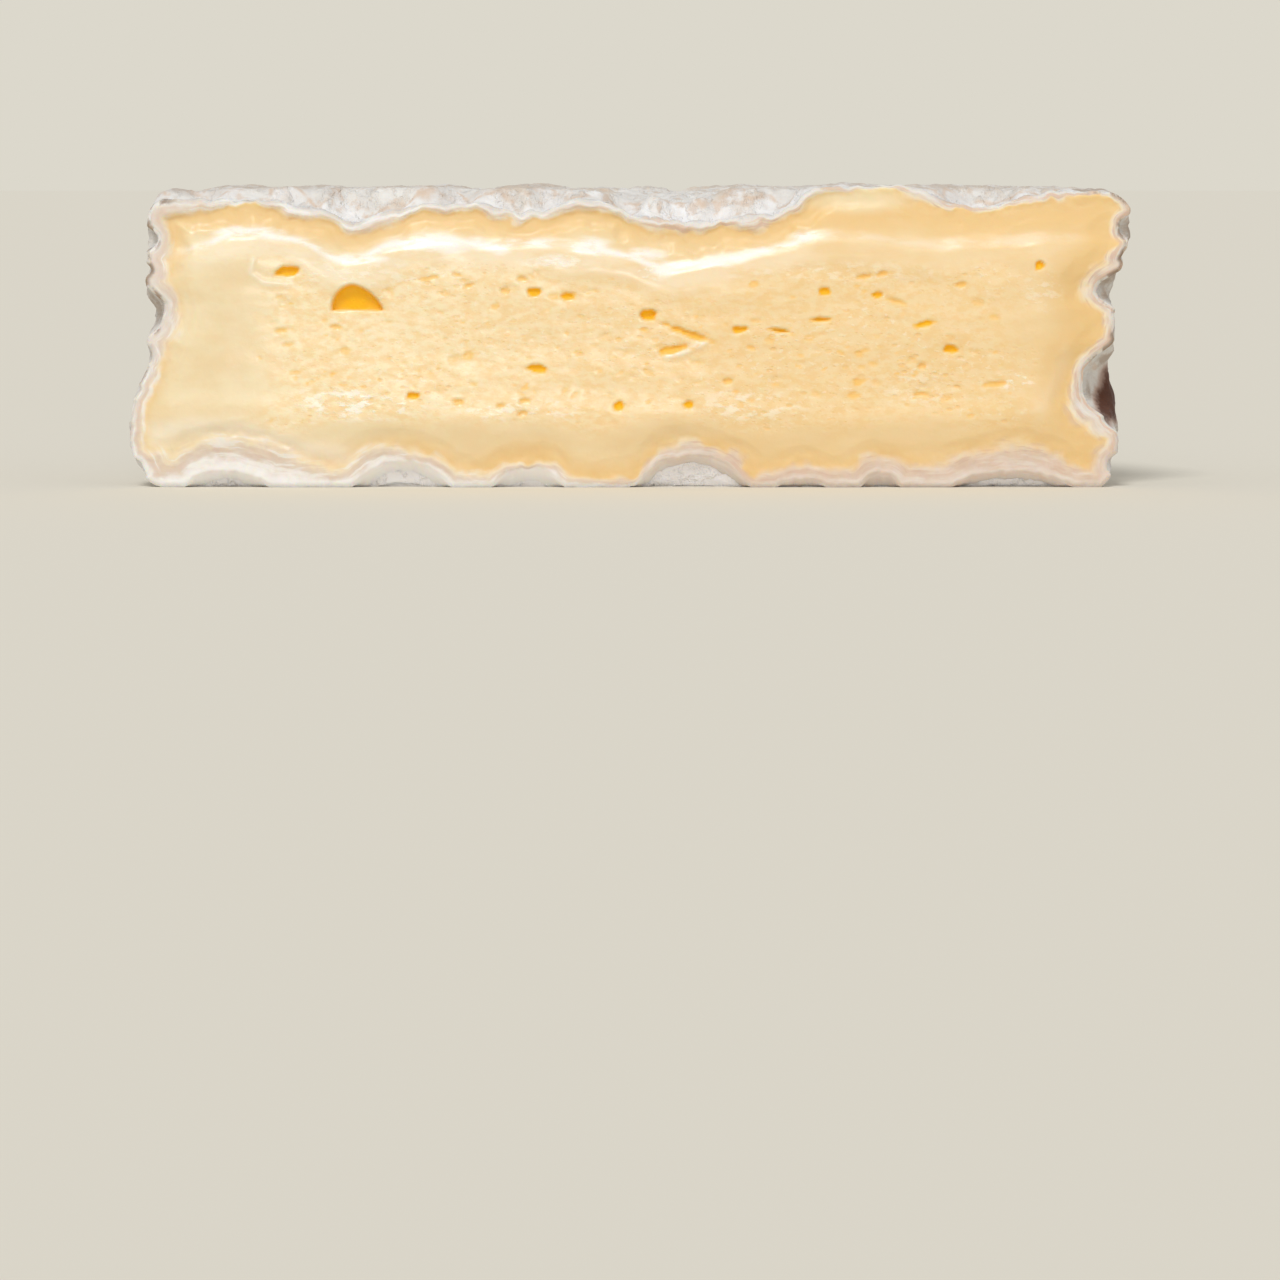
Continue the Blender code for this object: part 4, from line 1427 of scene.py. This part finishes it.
class StudioSettings(bpy.types.PropertyGroup):
    """The floor, the light and the camera."""

    backdrop: colour_property("Backdrop", "The background as the camera sees it", (220, 216, 204))
    floor_colour: colour_property("Floor", "The floor's own colour", (225, 220, 207))
    key_strength: FloatProperty(name="Key", description="Strength of the main light", default=1.5)
    fill_strength: FloatProperty(name="Fill", description="Strength of the low front light", default=0.42)
    sky: FloatProperty(name="Sky", description="Strength of the even light", default=0.55)
    lens: FloatProperty(name="Lens", description="Focal length in millimetres", default=161.0)
    distance: FloatProperty(
        name="Distance", description="From the camera to the cut", default=0.63, unit="LENGTH"
    )
    eye_level: FloatProperty(
        name="Eye level", description="Height of the camera", default=0.036, unit="LENGTH"
    )
    tilt: FloatProperty(name="Tilt", description="How far the camera looks down, in degrees", default=4.8)


class CHEESE_OT_cut_face(bpy.types.Operator):
    """Make the face of the cut, with the rind's section, the eyes and the pores"""

    bl_idname = "cheese.cut_face"
    bl_label = "Cut face"

    def execute(self, context):
        settings = context.scene.cheese_paste
        piece = plain_cut(settings)
        shape_cut(piece, settings.pores, frame_shift())
        dress(piece, paste_material(settings))
        return {"FINISHED"}


class CHEESE_OT_mould_rind(bpy.types.Operator):
    """Make the mould rind that wraps the rest of the half wheel"""

    bl_idname = "cheese.mould_rind"
    bl_label = "Mould rind"

    def execute(self, context):
        settings = context.scene.cheese_rind
        piece = plain_wheel(settings.face_size)
        shape_rind(piece, frame_shift())
        dress(piece, rind_material(settings))
        return {"FINISHED"}


def add_light(name, strength, softness, place):
    """A soft light from far off, as even over the floor as over the cheese."""
    data = bpy.data.lights.new(name, "SUN")
    data.energy = strength
    data.angle = math.radians(softness)
    light = bpy.data.objects.new(name, data)
    light.location = place
    light.rotation_euler = (-Vector(place)).to_track_quat("-Z", "Y").to_euler()
    bpy.context.scene.collection.objects.link(light)


def add_sky(colour, strength):
    """Even light all round, which the camera sees as the backdrop."""
    world = bpy.data.worlds.new("studio")
    bpy.context.scene.world = world
    world.use_nodes = True
    shader = Shader(world.node_tree)
    nodes = world.node_tree.nodes
    light = nodes["Background"]
    light.inputs["Color"].default_value = (1.0, 1.0, 1.0, 1.0)
    light.inputs["Strength"].default_value = strength
    seen = shader.add("ShaderNodeBackground")
    seen.inputs["Color"].default_value = (*linear(colour), 1.0)
    path = shader.add("ShaderNodeLightPath")
    mixed = shader.add("ShaderNodeMixShader")
    shader.join(path.outputs["Is Camera Ray"], mixed.inputs["Fac"])
    world.node_tree.links.new(light.outputs[0], mixed.inputs[1])
    world.node_tree.links.new(seen.outputs[0], mixed.inputs[2])
    world.node_tree.links.new(mixed.outputs[0], nodes["World Output"].inputs["Surface"])


class CHEESE_OT_studio(bpy.types.Operator):
    """Lay the pale floor and set up the soft light and the camera"""

    bl_idname = "cheese.studio"
    bl_label = "Studio"

    def execute(self, context):
        settings = context.scene.cheese_studio
        deselect_all()
        bpy.ops.mesh.primitive_circle_add(vertices=FLOOR_SIDES, radius=FLOOR_RADIUS, fill_type="NGON")
        floor = context.object
        floor.name = "floor"
        floor.data.materials.append(floor_material(settings.floor_colour))
        add_sky(settings.backdrop, settings.sky)
        add_light("key light", settings.key_strength, *KEY_LIGHT)
        add_light("fill light", settings.fill_strength, *FILL_LIGHT)
        data = bpy.data.cameras.new("camera")
        data.lens = settings.lens
        data.sensor_width = SENSOR_WIDTH
        data.clip_start = NEAREST_SEEN
        data.clip_end = FURTHEST_SEEN
        camera = bpy.data.objects.new("camera", data)
        cut = frame_shift() * MM
        camera.location = (CAMERA_RIGHT, cut[1] - settings.distance, settings.eye_level)
        camera.rotation_euler = (math.radians(90.0 - settings.tilt), 0.0, 0.0)
        context.scene.collection.objects.link(camera)
        context.scene.camera = camera
        context.scene.view_settings.view_transform = "Standard"
        return {"FINISHED"}


class CHEESE_PT_panel(bpy.types.Panel):
    """The half wheel's pieces and their settings"""

    bl_label = "Half cheese wheel"
    bl_space_type = "VIEW_3D"
    bl_region_type = "UI"
    bl_category = "Cheese"

    def draw(self, context):
        for operator, name in (
            ("cheese.cut_face", "cheese_paste"),
            ("cheese.mould_rind", "cheese_rind"),
            ("cheese.studio", "cheese_studio"),
        ):
            self.layout.operator(operator)
            settings = getattr(context.scene, name)
            for setting in settings.__annotations__:
                self.layout.prop(settings, setting)


SETTINGS = {
    "cheese_paste": PasteSettings,
    "cheese_rind": RindSettings,
    "cheese_studio": StudioSettings,
}
CLASSES = (
    *SETTINGS.values(),
    CHEESE_OT_cut_face,
    CHEESE_OT_mould_rind,
    CHEESE_OT_studio,
    CHEESE_PT_panel,
)


def register():
    for made in CLASSES:
        bpy.utils.register_class(made)
    for name, kind in SETTINGS.items():
        setattr(bpy.types.Scene, name, PointerProperty(type=kind))


def unregister():
    for name in SETTINGS:
        delattr(bpy.types.Scene, name)
    for made in reversed(CLASSES):
        bpy.utils.unregister_class(made)


def main():
    register()
    bpy.ops.cheese.cut_face()
    bpy.ops.cheese.mould_rind()
    bpy.ops.cheese.studio()


if __name__ == "__main__":
    main()
